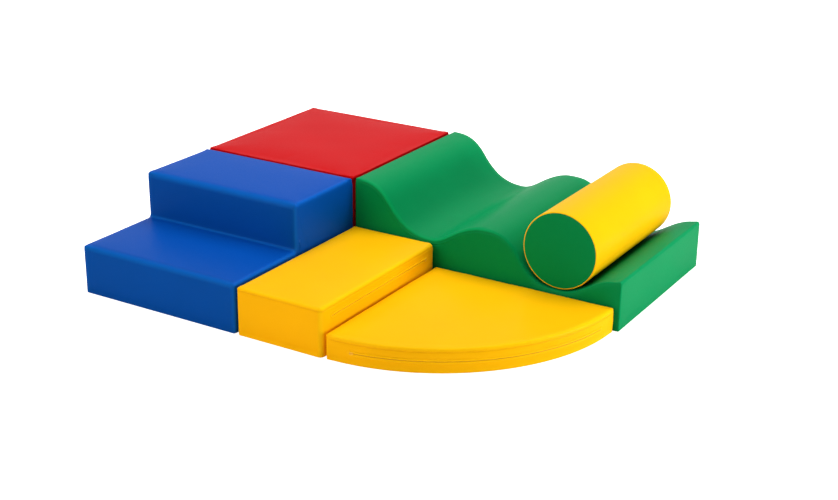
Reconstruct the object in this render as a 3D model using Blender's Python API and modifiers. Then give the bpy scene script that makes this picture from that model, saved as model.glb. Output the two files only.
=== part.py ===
"""Soft play climber made of six loose foam modules: a two-step stair, a square platform, a long wave, a low
block, a quarter-circle mat and a roller that lies in the wave's valley.

Metres, +Z up. +X runs along the wave, +Y runs from the stair's front towards the back. The origin lies on the
floor under the middle of the whole set. Each module is modelled in its own frame, with its front left corner on
the floor at the origin, and is placed by an empty.
"""

import math

import bmesh
import bpy
from mathutils import Matrix, Vector

MM = 0.001

# Shared by every module. Heights are taken at the middle of a crowned face.
MODULE_GAP = 4.0 * MM
CLEARANCE = 0.3 * MM
COVER_WALL = 1.2 * MM
CORNER_RADIUS = 14.0 * MM
RIM_RADIUS = 10.0 * MM
CROWN = 4.0 * MM

# Stair
STAIR_WIDTH = 575.0 * MM
STAIR_DEPTH = 600.0 * MM
TREAD_DEPTH = 300.0 * MM
STEP_HEIGHT = 158.0 * MM
DECK_HEIGHT = 307.0 * MM

# Platform, as wide and as high as the stair
PLATFORM_DEPTH = 595.0 * MM

# Wave
WAVE_LENGTH = 910.0 * MM
WAVE_DEPTH = 610.0 * MM
DIP_HEIGHT = 160.0 * MM
HUMP_HEIGHT = 229.0 * MM
VALLEY_HEIGHT = 85.0 * MM
WAVE_END_HEIGHT = 159.0 * MM
WAVE_CROWN_RUN = 100.0 * MM
# How far the deck has rounded off where the slope begins
BROW_DROP = 4.5 * MM

# Low block, as deep as the stair
LOW_BLOCK_WIDTH = 295.0 * MM
LOW_BLOCK_HEIGHT = 153.0 * MM

# Quarter-circle mat
MAT_RADIUS = 595.0 * MM
MAT_HEIGHT = 80.0 * MM

# Roller, which lies a little inside both sides of the wave, nearer to its front
ROLLER_RADIUS = 118.5 * MM
ROLLER_FRONT_SETBACK = 10.0 * MM
ROLLER_BACK_SETBACK = 36.0 * MM
ROLLER_LENGTH = WAVE_DEPTH - ROLLER_FRONT_SETBACK - ROLLER_BACK_SETBACK
ROLLER_RIM_RADIUS = 5.0 * MM
ROLLER_LIP = 7.0 * MM
DISC_CROWN = 3.0 * MM

# Non-slip panel in the bottom of each cover
BASE_INSET = 26.0 * MM
BASE_CORNER = 12.0 * MM

# Zips, sewn behind a slot in the cover with the coil on the inside
TAPE_WIDTH = 20.0 * MM
TAPE_THICKNESS = 0.6 * MM
COIL_WIDTH = 5.0 * MM
COIL_DEPTH = 1.6 * MM
TAPE_OVERLAP = 8.0 * MM
SLIDER_LENGTH = 12.0 * MM
SLIDER_WIDTH = 8.0 * MM
SLIDER_CORNER = 2.5 * MM
KEY_HOLE_RADIUS = 1.3 * MM
KEY_HOLE_STEPS = 8
ZIP_END_MARGIN = 50.0 * MM
ZIP_RISE = 14.0 * MM
LOW_BLOCK_ZIP_DROP = 21.0 * MM
MAT_ZIP_SHARE = 0.45
ROLLER_ZIP_ANGLE = math.radians(215.0)

# Hook and loop strips between neighbours
STRIP_LENGTH = 180.0 * MM
STRIP_WIDTH = 40.0 * MM
STRIP_CORNER = 6.0 * MM
STRIP_THICKNESS = (MODULE_GAP - 3 * CLEARANCE) / 2

# Modelling
CUT_OVERRUN = 6.0 * MM
WELD = 0.01 * MM
CORNER_STEPS = 3
RIM_STEPS = 1
ARC_STEPS = 36
ARC_END_STEPS = 2
ROUND_STEPS = 40
DISC_STEPS = 2
SMOOTH_ANGLE = math.radians(35.0)
FLAT_ANGLE = math.radians(0.05)
CROWN_CUT_SHARES = (0.25, 0.5, 0.75)
UPWARD_SHARE = 0.3
HUMP_SHARE = 0.501

# The wave's top line from left to right: share of the length, then the named height that a knot lies at, or the
# share of the way from the next height to the last one, and how steep it is beside its neighbours' mean slope.
WAVE_KNOT_SHARES = (
    (0.0, "deck", 0.0),
    (0.06, "brow", 0.6),
    (0.138, 0.614, 2.28),
    (0.306, "dip", 0.0),
    (0.388, 0.51, 1.57),
    (HUMP_SHARE, "hump", 0.0),
    (0.637, 0.51, 3.05),
    (0.79, "valley", 0.0),
    (0.966, 0.09, 0.27),
    (1.0, "end", 0.1),
)
WAVE_SEGMENT_STEPS = 4
SEAT_STEPS = 10

# Flat finish of each cloth and fitting: colour as sRGB hex, roughness, metallic
FINISHES = {
    "blue_cover": ("1450A8", 0.45, 0.0),
    "red_cover": ("D62F33", 0.45, 0.0),
    "green_cover": ("18984F", 0.45, 0.0),
    "yellow_cover": ("FBC416", 0.45, 0.0),
    "foam": ("E8E2D2", 0.95, 0.0),
    "non_slip_base": ("2B2D30", 0.8, 0.0),
    "blue_zip_tape": ("0F3F86", 0.8, 0.0),
    "red_zip_tape": ("A81A1E", 0.8, 0.0),
    "green_zip_tape": ("0D6A38", 0.8, 0.0),
    "yellow_zip_tape": ("D9A012", 0.8, 0.0),
    "blue_zip_slider": ("1450A8", 0.3, 0.0),
    "red_zip_slider": ("D62F33", 0.3, 0.0),
    "green_zip_slider": ("18984F", 0.3, 0.0),
    "yellow_zip_slider": ("FBC416", 0.3, 0.0),
    "hook_strip": ("1B1C1F", 0.9, 0.0),
    "loop_strip": ("2A2B2F", 0.95, 0.0),
}

# Turns an outline drawn in X and Y so that it is swept along the named axis
SWEEP_TURNS = {
    "X": Matrix(((0, 0, 1), (1, 0, 0), (0, 1, 0))),
    "Y": Matrix(((1, 0, 0), (0, 0, -1), (0, 1, 0))),
    "Z": Matrix.Identity(3),
}
AXES = {"X": Vector((1, 0, 0)), "Y": Vector((0, 1, 0)), "Z": Vector((0, 0, 1))}


# Scene, materials and objects


def start_scene():
    """Empties the scene and makes one collection for the parts and one for the cutters."""
    for thing in list(bpy.data.objects):
        bpy.data.objects.remove(thing, do_unlink=True)
    collections = []
    for name in ("Soft play climber", "Cutters"):
        collection = bpy.data.collections.new(name)
        bpy.context.scene.collection.children.link(collection)
        collections.append(collection)
    return collections


def linear(channel):
    """One sRGB channel from 0 to 1 as linear light."""
    if channel <= 0.04045:
        return channel / 12.92
    return ((channel + 0.055) / 1.055) ** 2.4


def make_finish(name):
    """A plain Principled material for one of the named finishes."""
    colour, roughness, metallic = FINISHES[name]
    material = bpy.data.materials.new(name)
    material.use_nodes = True
    shader = material.node_tree.nodes["Principled BSDF"]
    channels = [linear(int(colour[i : i + 2], 16) / 255) for i in (0, 2, 4)]
    shader.inputs["Base Color"].default_value = (*channels, 1)
    shader.inputs["Roughness"].default_value = roughness
    shader.inputs["Metallic"].default_value = metallic
    material.diffuse_color = (*channels, 1)
    return material


def place_piece(name, mesh, finish, module, frame=Matrix.Identity(4)):
    """Puts a finished mesh in the scene as one named piece, in a frame of its module."""
    mesh.name = name
    mesh.materials.clear()
    mesh.materials.append(MATERIALS[finish])
    mesh.shade_smooth()
    mesh.set_sharp_from_angle(angle=SMOOTH_ANGLE)
    piece = bpy.data.objects.new(name, mesh)
    PARTS.objects.link(piece)
    piece.parent = module
    piece.matrix_local = frame
    return piece


def cut(piece, cutters):
    """Takes each cutter mesh out of a piece and keeps the cutter beside it."""
    for number, mesh in enumerate(cutters, 1):
        cutter = bpy.data.objects.new(f"{piece.name}_cutter_{number}", mesh)
        CUTTERS.objects.link(cutter)
        cutter.parent = piece
        cutter.hide_render = True
        cutter.display_type = "WIRE"
        modifier = piece.modifiers.new(cutter.name, "BOOLEAN")
        modifier.operation = "DIFFERENCE"
        modifier.solver = "EXACT"
        modifier.object = cutter


def place_module(name, x, y, z=0):
    """An empty that carries the pieces of one module."""
    module = bpy.data.objects.new(name, None)
    PARTS.objects.link(module)
    module.location = (x, y, z)
    return module


# Outlines. An outline runs counter-clockwise, as pairs of a corner and its rounding radius.


def outward(direction):
    """The outward normal of an edge of a counter-clockwise outline."""
    return Vector((direction.y, -direction.x))


def edge_directions(corners, index):
    """Unit directions of the edges that arrive at and leave one corner."""
    point = corners[index][0]
    before = (point - corners[index - 1][0]).normalized()
    after = (corners[(index + 1) % len(corners)][0] - point).normalized()
    return before, after


def inset_outline(corners, inset):
    """Moves every edge inwards, and shrinks or grows the rounding of each corner to stay parallel."""
    moved = []
    for index, (point, radius) in enumerate(corners):
        before, after = edge_directions(corners, index)
        normal_sum = outward(before) + outward(after)
        shift = normal_sum * (inset / (1 + before.dot(after)))
        turn = math.copysign(1, before.cross(after))
        moved.append((point - shift, radius - turn * inset if radius else radius))
    return moved


def round_outline(corners):
    """The points of an outline, with an arc in the place of each corner that has a radius."""
    points = []
    for index, (point, radius) in enumerate(corners):
        if not radius:
            points.append(point)
            continue
        before, after = edge_directions(corners, index)
        turn = math.atan2(before.cross(after), before.dot(after))
        start = point - before * (radius * math.tan(abs(turn) / 2))
        spoke = outward(before) * math.copysign(radius, turn)
        centre = start - spoke
        for step in range(CORNER_STEPS + 1):
            points.append(centre + Matrix.Rotation(turn * step / CORNER_STEPS, 2) @ spoke)
    return points


def rectangle(low_x, high_x, low_y, high_y, radius):
    """A rectangle with four rounded corners."""
    spots = ((low_x, low_y), (high_x, low_y), (high_x, high_y), (low_x, high_y))
    return [(Vector(spot), radius) for spot in spots]


def stair_outline(inset):
    """The stair seen from its right side, depth across and height up."""
    top = DECK_HEIGHT - CROWN
    tread = STEP_HEIGHT - CROWN
    spots = ((0, 0), (STAIR_DEPTH, 0), (STAIR_DEPTH, top), (TREAD_DEPTH, top), (TREAD_DEPTH, tread), (0, tread))
    return inset_outline([(Vector(spot), CORNER_RADIUS) for spot in spots], inset)


def wave_knots():
    """The knots of the wave's top line as place, height and slope."""
    named = {
        "deck": DECK_HEIGHT - CROWN,
        "brow": DECK_HEIGHT - CROWN - BROW_DROP,
        "dip": DIP_HEIGHT - CROWN,
        "hump": HUMP_HEIGHT - CROWN,
        "valley": VALLEY_HEIGHT - CROWN,
        "end": WAVE_END_HEIGHT - CROWN,
    }
    places = [share * WAVE_LENGTH for share, _, _ in WAVE_KNOT_SHARES]
    heights = [named.get(height) for _, height, _ in WAVE_KNOT_SHARES]
    for index, (_, height, _) in enumerate(WAVE_KNOT_SHARES):
        if heights[index] is None:
            last, following = heights[index - 1], heights[index + 1]
            heights[index] = following + height * (last - following)
    knots = []
    for index, (_, _, steepness) in enumerate(WAVE_KNOT_SHARES):
        left, right = max(index - 1, 0), min(index + 1, len(places) - 1)
        mean = (heights[right] - heights[left]) / (places[right] - places[left])
        knots.append((places[index], heights[index], steepness * mean))
    return knots


def wave_top():
    """Points along the wave's top line from left to right, on a smooth curve through its knots."""
    points = []
    knots = wave_knots()
    for (x0, z0, slope0), (x1, z1, slope1) in zip(knots, knots[1:]):
        run = x1 - x0
        for step in range(WAVE_SEGMENT_STEPS):
            t = step / WAVE_SEGMENT_STEPS
            rise = z0 * (1 + 2 * t) * (1 - t) ** 2 + z1 * t * t * (3 - 2 * t)
            bend = run * (slope0 * t * (1 - t) ** 2 - slope1 * t * t * (1 - t))
            points.append(Vector((x0 + t * run, rise + bend)))
    return points


def wave_outline(inset):
    """The wave seen from its front, length across and height up."""
    clear = 2 * CORNER_RADIUS
    line = [point for point in wave_top() if clear < point.x < WAVE_LENGTH - clear]
    corners = [
        (Vector((0, 0)), CORNER_RADIUS),
        (Vector((WAVE_LENGTH, 0)), CORNER_RADIUS),
        (Vector((WAVE_LENGTH, WAVE_END_HEIGHT - CROWN)), CORNER_RADIUS),
    ]
    corners += [(point, 0) for point in reversed(line)]
    corners.append((Vector((0, DECK_HEIGHT - CROWN)), CORNER_RADIUS))
    return inset_outline(corners, inset)


def mat_outline(radius):
    """The quarter circle seen from above. Its square corner is at the back left, its arc faces front right."""
    corners = [(Vector((0, 0)), radius), (Vector((0, -MAT_RADIUS)), radius)]
    quarter = math.pi / 2
    clear = 2 * radius / MAT_RADIUS
    for step in range(1, ARC_STEPS):
        turn = quarter * step / ARC_STEPS
        if clear < turn < quarter - clear:
            corners.append((MAT_RADIUS * Vector((math.sin(turn), -math.cos(turn))), 0))
    corners.append((Vector((MAT_RADIUS, 0)), radius))
    return corners


# Solids


def sweep(outline, axis, low, high, rim=0):
    """Carries an outline along an axis, with both rims rolled over by the rim radius."""
    curve = bpy.data.curves.new("outline", "CURVE")
    curve.dimensions = "2D"
    curve.fill_mode = "BOTH"
    curve.extrude = (high - low) / 2 - rim
    curve.bevel_depth = rim
    curve.bevel_resolution = RIM_STEPS
    curve.offset = -rim
    points = round_outline(outline)
    spline = curve.splines.new("POLY")
    spline.points.add(len(points) - 1)
    for spot, point in zip(spline.points, points):
        spot.co = (*point, 0, 1)
    spline.use_cyclic_u = True
    holder = bpy.data.objects.new("outline", curve)
    bpy.context.scene.collection.objects.link(holder)
    graph = bpy.context.evaluated_depsgraph_get()
    mesh = bpy.data.meshes.new_from_object(holder.evaluated_get(graph))
    bpy.data.objects.remove(holder)
    bpy.data.curves.remove(curve)
    shift = Matrix.Translation(AXES[axis] * (low + high) / 2)
    mesh.transform(shift @ SWEEP_TURNS[axis].to_4x4())
    form = bmesh.new()
    form.from_mesh(mesh)
    bmesh.ops.remove_doubles(form, verts=form.verts, dist=WELD)
    bmesh.ops.dissolve_limit(form, angle_limit=FLAT_ANGLE, verts=form.verts, edges=form.edges)
    bmesh.ops.recalc_face_normals(form, faces=form.faces)
    form.to_mesh(mesh)
    form.free()
    return mesh


def crowned(mesh, cuts, lift):
    """Slices a swept mesh's upper faces at the places along each axis and raises each point by its lift."""
    form = bmesh.new()
    form.from_mesh(mesh)
    for axis, places in cuts.items():
        for place in places:
            faces = [face for face in form.faces if face.normal.z > UPWARD_SHARE]
            edges = {edge for face in faces for edge in face.edges}
            corners = {corner for face in faces for corner in face.verts}
            geometry = faces + list(edges) + list(corners)
            normal = AXES[axis]
            bmesh.ops.bisect_plane(form, geom=geometry, dist=WELD, plane_co=normal * place, plane_no=normal)
    bmesh.ops.triangulate(form, faces=form.faces, quad_method="FIXED", ngon_method="EAR_CLIP")
    for vertex in form.verts:
        vertex.co.z += lift(vertex.co)
    form.to_mesh(mesh)
    form.free()
    return mesh


def box(low, high):
    """A plain box between two corners."""
    form = bmesh.new()
    size = high - low
    place = Matrix.Translation((low + high) / 2) @ Matrix.Diagonal((*size, 1))
    bmesh.ops.create_cube(form, size=1, matrix=place)
    mesh = bpy.data.meshes.new("box")
    form.to_mesh(mesh)
    form.free()
    return mesh


def spread(low, high):
    """The places where a face is sliced for its crown."""
    return [low + share * (high - low) for share in CROWN_CUT_SHARES]


def dome(value, low, high):
    """1 in the middle of a span and 0 at and beyond its ends, along a parabola."""
    share = (2 * value - low - high) / (high - low)
    return max(0, 1 - share * share)


def ramp(value, low, high, run):
    """0 at and beyond the ends of a span and 1 further than a run inside them, rounded off between."""
    near = min(max(min(value - low, high - value) / run, 0), 1)
    return near * (2 - near)


def stair_body(inset):
    """The stair's body with each tread crowned."""
    mesh = sweep(stair_outline(inset), "X", inset, STAIR_WIDTH - inset, RIM_RADIUS - inset)

    def lift(spot):
        if spot.z < STEP_HEIGHT / 2:
            return 0
        low, high = (0, TREAD_DEPTH) if spot.y < TREAD_DEPTH else (TREAD_DEPTH, STAIR_DEPTH)
        return CROWN * dome(spot.x, 0, STAIR_WIDTH) * dome(spot.y, low, high)

    along = spread(0, TREAD_DEPTH) + spread(TREAD_DEPTH, STAIR_DEPTH)
    return crowned(mesh, {"X": spread(0, STAIR_WIDTH), "Y": along}, lift)


def block_body(width, depth, height, inset):
    """A block's body with a crowned top."""
    outline = inset_outline(rectangle(0, width, 0, depth, CORNER_RADIUS), inset)
    mesh = sweep(outline, "Z", inset, height - CROWN - inset, RIM_RADIUS - inset)

    def lift(spot):
        return CROWN * dome(spot.x, 0, width) * dome(spot.y, 0, depth) if spot.z > height / 2 else 0

    return crowned(mesh, {"X": spread(0, width), "Y": spread(0, depth)}, lift)


def wave_body(inset):
    """The wave's body, crowned from front to back."""
    mesh = sweep(wave_outline(inset), "Y", inset, WAVE_DEPTH - inset, RIM_RADIUS - inset)

    def lift(spot):
        if spot.z < VALLEY_HEIGHT / 2:
            return 0
        return CROWN * dome(spot.y, 0, WAVE_DEPTH) * ramp(spot.x, 0, WAVE_LENGTH, WAVE_CROWN_RUN)

    return crowned(mesh, {"Y": spread(0, WAVE_DEPTH)}, lift)


def mat_body(inset):
    """The mat's body, crowned inside its straight sides and its arc."""
    outline = inset_outline(mat_outline(CORNER_RADIUS), inset)
    mesh = sweep(outline, "Z", inset, MAT_HEIGHT - CROWN - inset, RIM_RADIUS - inset)

    def lift(spot):
        if spot.z < MAT_HEIGHT / 2:
            return 0
        across, down = spot.x / MAT_RADIUS, -spot.y / MAT_RADIUS
        peak_share = 8
        return CROWN * max(0, peak_share * across * down * (1 - across * across - down * down))

    return crowned(mesh, {"X": spread(0, MAT_RADIUS), "Y": spread(-MAT_RADIUS, 0)}, lift)


def base_panel_mesh(corners, grow=0, over=0):
    """The non-slip panel in a cover's bottom, or a cutter for its opening, grown and run over both faces."""
    return sweep(inset_outline(corners, BASE_INSET - grow), "Z", -over, COVER_WALL + over)


def turn_profile(profile, steps=ROUND_STEPS):
    """Turns a profile of radius and height, which runs down its outer side, round Z."""
    mesh = bpy.data.meshes.new("profile")
    edges = [(i, (i + 1) % len(profile)) for i in range(len(profile))]
    if not profile[0][0] and not profile[-1][0]:
        edges.pop()
    mesh.from_pydata([(radius, 0, height) for radius, height in profile], edges, [])
    holder = bpy.data.objects.new("profile", mesh)
    bpy.context.scene.collection.objects.link(holder)
    screw = holder.modifiers.new("turn", "SCREW")
    screw.steps = screw.render_steps = steps
    screw.use_merge_vertices = True
    screw.merge_threshold = WELD
    graph = bpy.context.evaluated_depsgraph_get()
    turned = bpy.data.meshes.new_from_object(holder.evaluated_get(graph))
    bpy.data.objects.remove(holder)
    bpy.data.meshes.remove(mesh)
    return turned


# Fittings. Each is drawn in a face frame: X along the run, Y inwards from the outer face, Z across the run.


def face_frame(origin, run, inwards):
    """The frame of a fitting on a face, from the face's point, the run's direction and the inward normal."""
    across = run.cross(inwards)
    frame = Matrix((run, inwards, across)).transposed().to_4x4()
    frame.translation = origin
    return frame


def zip_depths():
    """Depths of the tape's outer face, of the coil's start and end, and of the groove in the foam."""
    tape = COVER_WALL + CLEARANCE
    coil = tape + TAPE_THICKNESS
    end = coil + COIL_DEPTH
    return tape, coil, end, end + CLEARANCE


def zip_section(sink=0):
    """The tape with the coil on its inner side, as corners of depth and height."""
    tape, coil, end, _ = zip_depths()
    half_tape, half_coil = TAPE_WIDTH / 2, COIL_WIDTH / 2
    spots = [(tape, -half_tape), (coil, -half_tape), (coil, -half_coil), (end, -half_coil)]
    spots += [(depth, -height) for depth, height in reversed(spots)]
    return [(Vector((depth + sink, height)), 0) for depth, height in spots]


def slot_half_width():
    """Half the width of the slot in a cover, in which the slider runs."""
    return SLIDER_WIDTH / 2 + CLEARANCE


def groove_half_width():
    """Half the width of the groove in a foam, which leaves room for the tape and the coil."""
    return TAPE_WIDTH / 2 + CLEARANCE


def straight_zip(length, sink=0):
    """Meshes of a straight zip for a slot of this length: the tape, the slot's and the groove's cutters."""
    half_slot = length / 2
    half_tape = half_slot + TAPE_OVERLAP
    half_groove = half_tape + CLEARANCE
    deep = zip_depths()[3] + sink
    tape = sweep(zip_section(sink), "X", -half_tape, half_tape)
    slot_corner = Vector((half_slot, 0, slot_half_width()))
    slot = box(-slot_corner - Vector((0, CUT_OVERRUN, 0)), slot_corner + Vector((0, deep, 0)))
    groove_corner = Vector((half_groove, 0, groove_half_width()))
    groove = box(-groove_corner - Vector((0, CUT_OVERRUN, 0)), groove_corner + Vector((0, deep, 0)))
    return tape, slot, groove


def slider_mesh():
    """The slider's plate, which fills the slot's depth less a clearance at its outer face."""
    half_run, half_width = SLIDER_LENGTH / 2, SLIDER_WIDTH / 2
    outline = rectangle(-half_run, half_run, -half_width, half_width, SLIDER_CORNER)
    return sweep(outline, "Y", CLEARANCE, COVER_WALL)


def place_slider(name, module, finish, frame):
    """An enamelled zip slider with the key hole that takes the place of a pull tab."""
    slider = place_piece(name, slider_mesh(), finish, module, frame)
    hole = turn_profile([(0, CUT_OVERRUN), (KEY_HOLE_RADIUS, CUT_OVERRUN), (KEY_HOLE_RADIUS, -CUT_OVERRUN),
                         (0, -CUT_OVERRUN)], KEY_HOLE_STEPS)
    hole.transform(SWEEP_TURNS["Y"].to_4x4())
    cut(slider, [hole])


def slider_stand(length):
    """How far the closed slider's middle stands from the slot's middle."""
    return length / 2 - CLEARANCE - SLIDER_LENGTH / 2


def tape_finish(cover_finish):
    """The finish of a zip tape, which is dyed like its cover."""
    return cover_finish.replace("cover", "zip_tape")


def dress(name, module, finish, body, foams, base_corners, zip_frame, zip_length):
    """The pieces that every floor module has: cover, foams, base panel, zip tape and slider. The zip runs in a
    groove in the first foam."""
    tape, slot, groove = straight_zip(zip_length)
    slot.transform(zip_frame)
    cover = place_piece(f"{name}_cover", body(0), finish, module)
    cut(cover, [body(COVER_WALL), base_panel_mesh(base_corners, CLEARANCE, CUT_OVERRUN), slot])
    groove.transform(zip_frame)
    pieces = [place_piece(foam_name, foam, "foam", module) for foam_name, foam in foams.items()]
    cut(pieces[0], [groove])
    place_piece(f"{name}_base_panel", base_panel_mesh(base_corners), "non_slip_base", module)
    place_piece(f"{name}_zip_tape", tape, tape_finish(finish), module, zip_frame)
    closed = zip_frame @ Matrix.Translation((slider_stand(zip_length), 0, 0))
    place_slider(f"{name}_zip_slider", module, finish.replace("cover", "zip_slider"), closed)


# Modules


def zip_height():
    """Height of the zips that run low along a side, clear of the rolled bottom rim."""
    return RIM_RADIUS + ZIP_RISE + TAPE_WIDTH / 2


def make_stair(x, y):
    """The two-step stair. Its zip runs along the left side."""
    module = place_module("stair", x, y)
    inset = COVER_WALL + CLEARANCE
    tread = STEP_HEIGHT - CROWN - inset
    radius = CORNER_RADIUS - inset

    def lower_lift(spot):
        high = spot.z > STEP_HEIGHT / 2
        return CROWN * dome(spot.x, 0, STAIR_WIDTH) * dome(spot.y, 0, TREAD_DEPTH) if high else 0

    def upper_lift(spot):
        high = spot.z > (STEP_HEIGHT + DECK_HEIGHT) / 2
        return CROWN * dome(spot.x, 0, STAIR_WIDTH) * dome(spot.y, TREAD_DEPTH, STAIR_DEPTH) if high else 0

    lower = rectangle(inset, STAIR_DEPTH - inset, inset, tread, radius)
    lower[2] = (lower[2][0], 0)
    lower_mesh = sweep(lower, "X", inset, STAIR_WIDTH - inset, RIM_RADIUS - inset)
    lower_cuts = {"X": spread(0, STAIR_WIDTH), "Y": spread(0, TREAD_DEPTH) + [TREAD_DEPTH]}
    top = DECK_HEIGHT - CROWN - inset
    upper = rectangle(TREAD_DEPTH + inset, STAIR_DEPTH - inset, tread + CLEARANCE, top, radius)
    upper[0] = (upper[0][0], 0)
    upper[1] = (upper[1][0], 0)
    upper_mesh = sweep(upper, "X", inset, STAIR_WIDTH - inset, RIM_RADIUS - inset)
    upper_cuts = {"X": spread(0, STAIR_WIDTH), "Y": spread(TREAD_DEPTH, STAIR_DEPTH)}
    foams = {
        "stair_lower_foam": crowned(lower_mesh, lower_cuts, lower_lift),
        "stair_upper_foam": crowned(upper_mesh, upper_cuts, upper_lift),
    }
    base = rectangle(0, STAIR_WIDTH, 0, STAIR_DEPTH, BASE_INSET + BASE_CORNER)
    frame = face_frame(Vector((0, STAIR_DEPTH / 2, zip_height())), -AXES["Y"], AXES["X"])
    dress("stair", module, "blue_cover", stair_body, foams, base, frame, STAIR_DEPTH - 2 * ZIP_END_MARGIN)
    return module


def make_platform(x, y):
    """The square platform. Its zip runs along the back."""
    module = place_module("platform", x, y)

    def body(inset):
        return block_body(STAIR_WIDTH, PLATFORM_DEPTH, DECK_HEIGHT, inset)

    foams = {"platform_foam": body(COVER_WALL + CLEARANCE)}
    base = rectangle(0, STAIR_WIDTH, 0, PLATFORM_DEPTH, BASE_INSET + BASE_CORNER)
    frame = face_frame(Vector((STAIR_WIDTH / 2, PLATFORM_DEPTH, zip_height())), -AXES["X"], -AXES["Y"])
    dress("platform", module, "red_cover", body, foams, base, frame, STAIR_WIDTH - 2 * ZIP_END_MARGIN)
    return module


def make_wave(x, y):
    """The wave. Its zip runs along the back, under the valley."""
    module = place_module("wave", x, y)
    foams = {"wave_foam": wave_body(COVER_WALL + CLEARANCE)}
    base = rectangle(0, WAVE_LENGTH, 0, WAVE_DEPTH, BASE_INSET + BASE_CORNER)
    frame = face_frame(Vector((WAVE_LENGTH / 2, WAVE_DEPTH, zip_height())), -AXES["X"], -AXES["Y"])
    dress("wave", module, "green_cover", wave_body, foams, base, frame, WAVE_LENGTH - 2 * ZIP_END_MARGIN)
    return module


def make_low_block(x, y):
    """The low block. Its zip runs along the right side, above the mat."""
    module = place_module("low_block", x, y)

    def body(inset):
        return block_body(LOW_BLOCK_WIDTH, STAIR_DEPTH, LOW_BLOCK_HEIGHT, inset)

    foams = {"low_block_foam": body(COVER_WALL + CLEARANCE)}
    base = rectangle(0, LOW_BLOCK_WIDTH, 0, STAIR_DEPTH, BASE_INSET + BASE_CORNER)
    height = LOW_BLOCK_HEIGHT - RIM_RADIUS - LOW_BLOCK_ZIP_DROP - TAPE_WIDTH / 2
    frame = face_frame(Vector((LOW_BLOCK_WIDTH, STAIR_DEPTH / 2, height)), AXES["Y"], -AXES["X"])
    length = STAIR_DEPTH - 2 * ZIP_END_MARGIN
    dress("low_block", module, "yellow_cover", body, foams, base, frame, length)
    return module


def spin_section(corners, start, end, steps):
    """Turns a section of radius and height part of the way round Z."""
    form = bmesh.new()
    section = form.faces.new([form.verts.new((radius, 0, height)) for radius, height in corners])
    bmesh.ops.rotate(form, verts=form.verts, cent=Vector(), matrix=Matrix.Rotation(start, 3, "Z"))
    geometry = form.verts[:] + form.edges[:] + [section]
    bmesh.ops.spin(form, geom=geometry, cent=Vector(), axis=AXES["Z"], angle=end - start, steps=steps)
    bmesh.ops.recalc_face_normals(form, faces=form.faces)
    mesh = bpy.data.meshes.new("section")
    form.to_mesh(mesh)
    form.free()
    return mesh


def make_mat(x, y):
    """The quarter-circle mat. Its zip follows the arc. The module's origin is the arc's centre."""
    module = place_module("quarter_mat", x, y)
    step = math.pi / 2 / ARC_STEPS
    height = MAT_HEIGHT * MAT_ZIP_SHARE

    def arc(corners, skipped_steps):
        trim = skipped_steps * step
        placed = [(MAT_RADIUS - depth, height + rise) for depth, rise in corners]
        return spin_section(placed, trim - math.pi / 2, -trim, ARC_STEPS - 2 * skipped_steps)

    def arc_cutter(half_width, skipped_steps):
        deep = zip_depths()[3]
        corners = [(-CUT_OVERRUN, -half_width), (deep, -half_width), (deep, half_width), (-CUT_OVERRUN, half_width)]
        return arc(corners, skipped_steps)

    slot = arc_cutter(slot_half_width(), ARC_END_STEPS + 1)
    groove = arc_cutter(groove_half_width(), ARC_END_STEPS - 1)
    cover = place_piece("quarter_mat_cover", mat_body(0), "yellow_cover", module)
    base = mat_outline(BASE_INSET + BASE_CORNER)
    cut(cover, [mat_body(COVER_WALL), base_panel_mesh(base, CLEARANCE, CUT_OVERRUN), slot])
    foam = place_piece("quarter_mat_foam", mat_body(COVER_WALL + CLEARANCE), "foam", module)
    cut(foam, [groove])
    place_piece("quarter_mat_base_panel", base_panel_mesh(base), "non_slip_base", module)
    tape = arc([tuple(corner) for corner, _ in zip_section()], ARC_END_STEPS)
    place_piece("quarter_mat_zip_tape", tape, "yellow_zip_tape", module)
    angle = mat_slider_angle()
    spoke = Vector((math.cos(angle), math.sin(angle), 0))
    frame = face_frame(MAT_RADIUS * spoke + height * AXES["Z"], AXES["Z"].cross(spoke), -spoke)
    place_slider("quarter_mat_zip_slider", module, "yellow_zip_slider", frame)
    return module


def mat_slider_angle():
    """Where the closed slider stands on the arc, at the end of the slot beside the low block."""
    step = math.pi / 2 / ARC_STEPS
    return -math.pi / 2 + (ARC_END_STEPS + 1) * step + (SLIDER_LENGTH / 2 + CLEARANCE) / MAT_RADIUS


def arc_points(radius, height, bend, first, last):
    """A quarter bend in a turned profile, from one angle to another in degrees above +X."""
    points = []
    for step in range(RIM_STEPS + 2):
        angle = math.radians(first + (last - first) * step / (RIM_STEPS + 1))
        points.append((radius + bend * math.cos(angle), height + bend * math.sin(angle)))
    return points


def disc_face(top, radius):
    """A crowned end face as points of radius and height, from the axis outwards."""
    shares = [step / DISC_STEPS for step in range(DISC_STEPS + 1)]
    return [(share * radius, top + DISC_CROWN * (1 - share * share)) for share in shares]


def roller_seat():
    """Place along the wave and height of the roller's axis where it lies lowest in the crowned valley."""
    reach = ROLLER_RADIUS + CLEARANCE
    top = [point for point in wave_top() if point.x > HUMP_SHARE * WAVE_LENGTH]
    line = [a.lerp(b, step / SEAT_STEPS) for a, b in zip(top, top[1:]) for step in range(SEAT_STEPS)]

    def height_over(place):
        below = [point for point in line if abs(point.x - place) < reach]
        return max(point.y + CROWN + math.sqrt(reach**2 - (point.x - place) ** 2) for point in below)

    place = min((point.x for point in line[SEAT_STEPS:-SEAT_STEPS]), key=height_over)
    return place, height_over(place)


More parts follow.
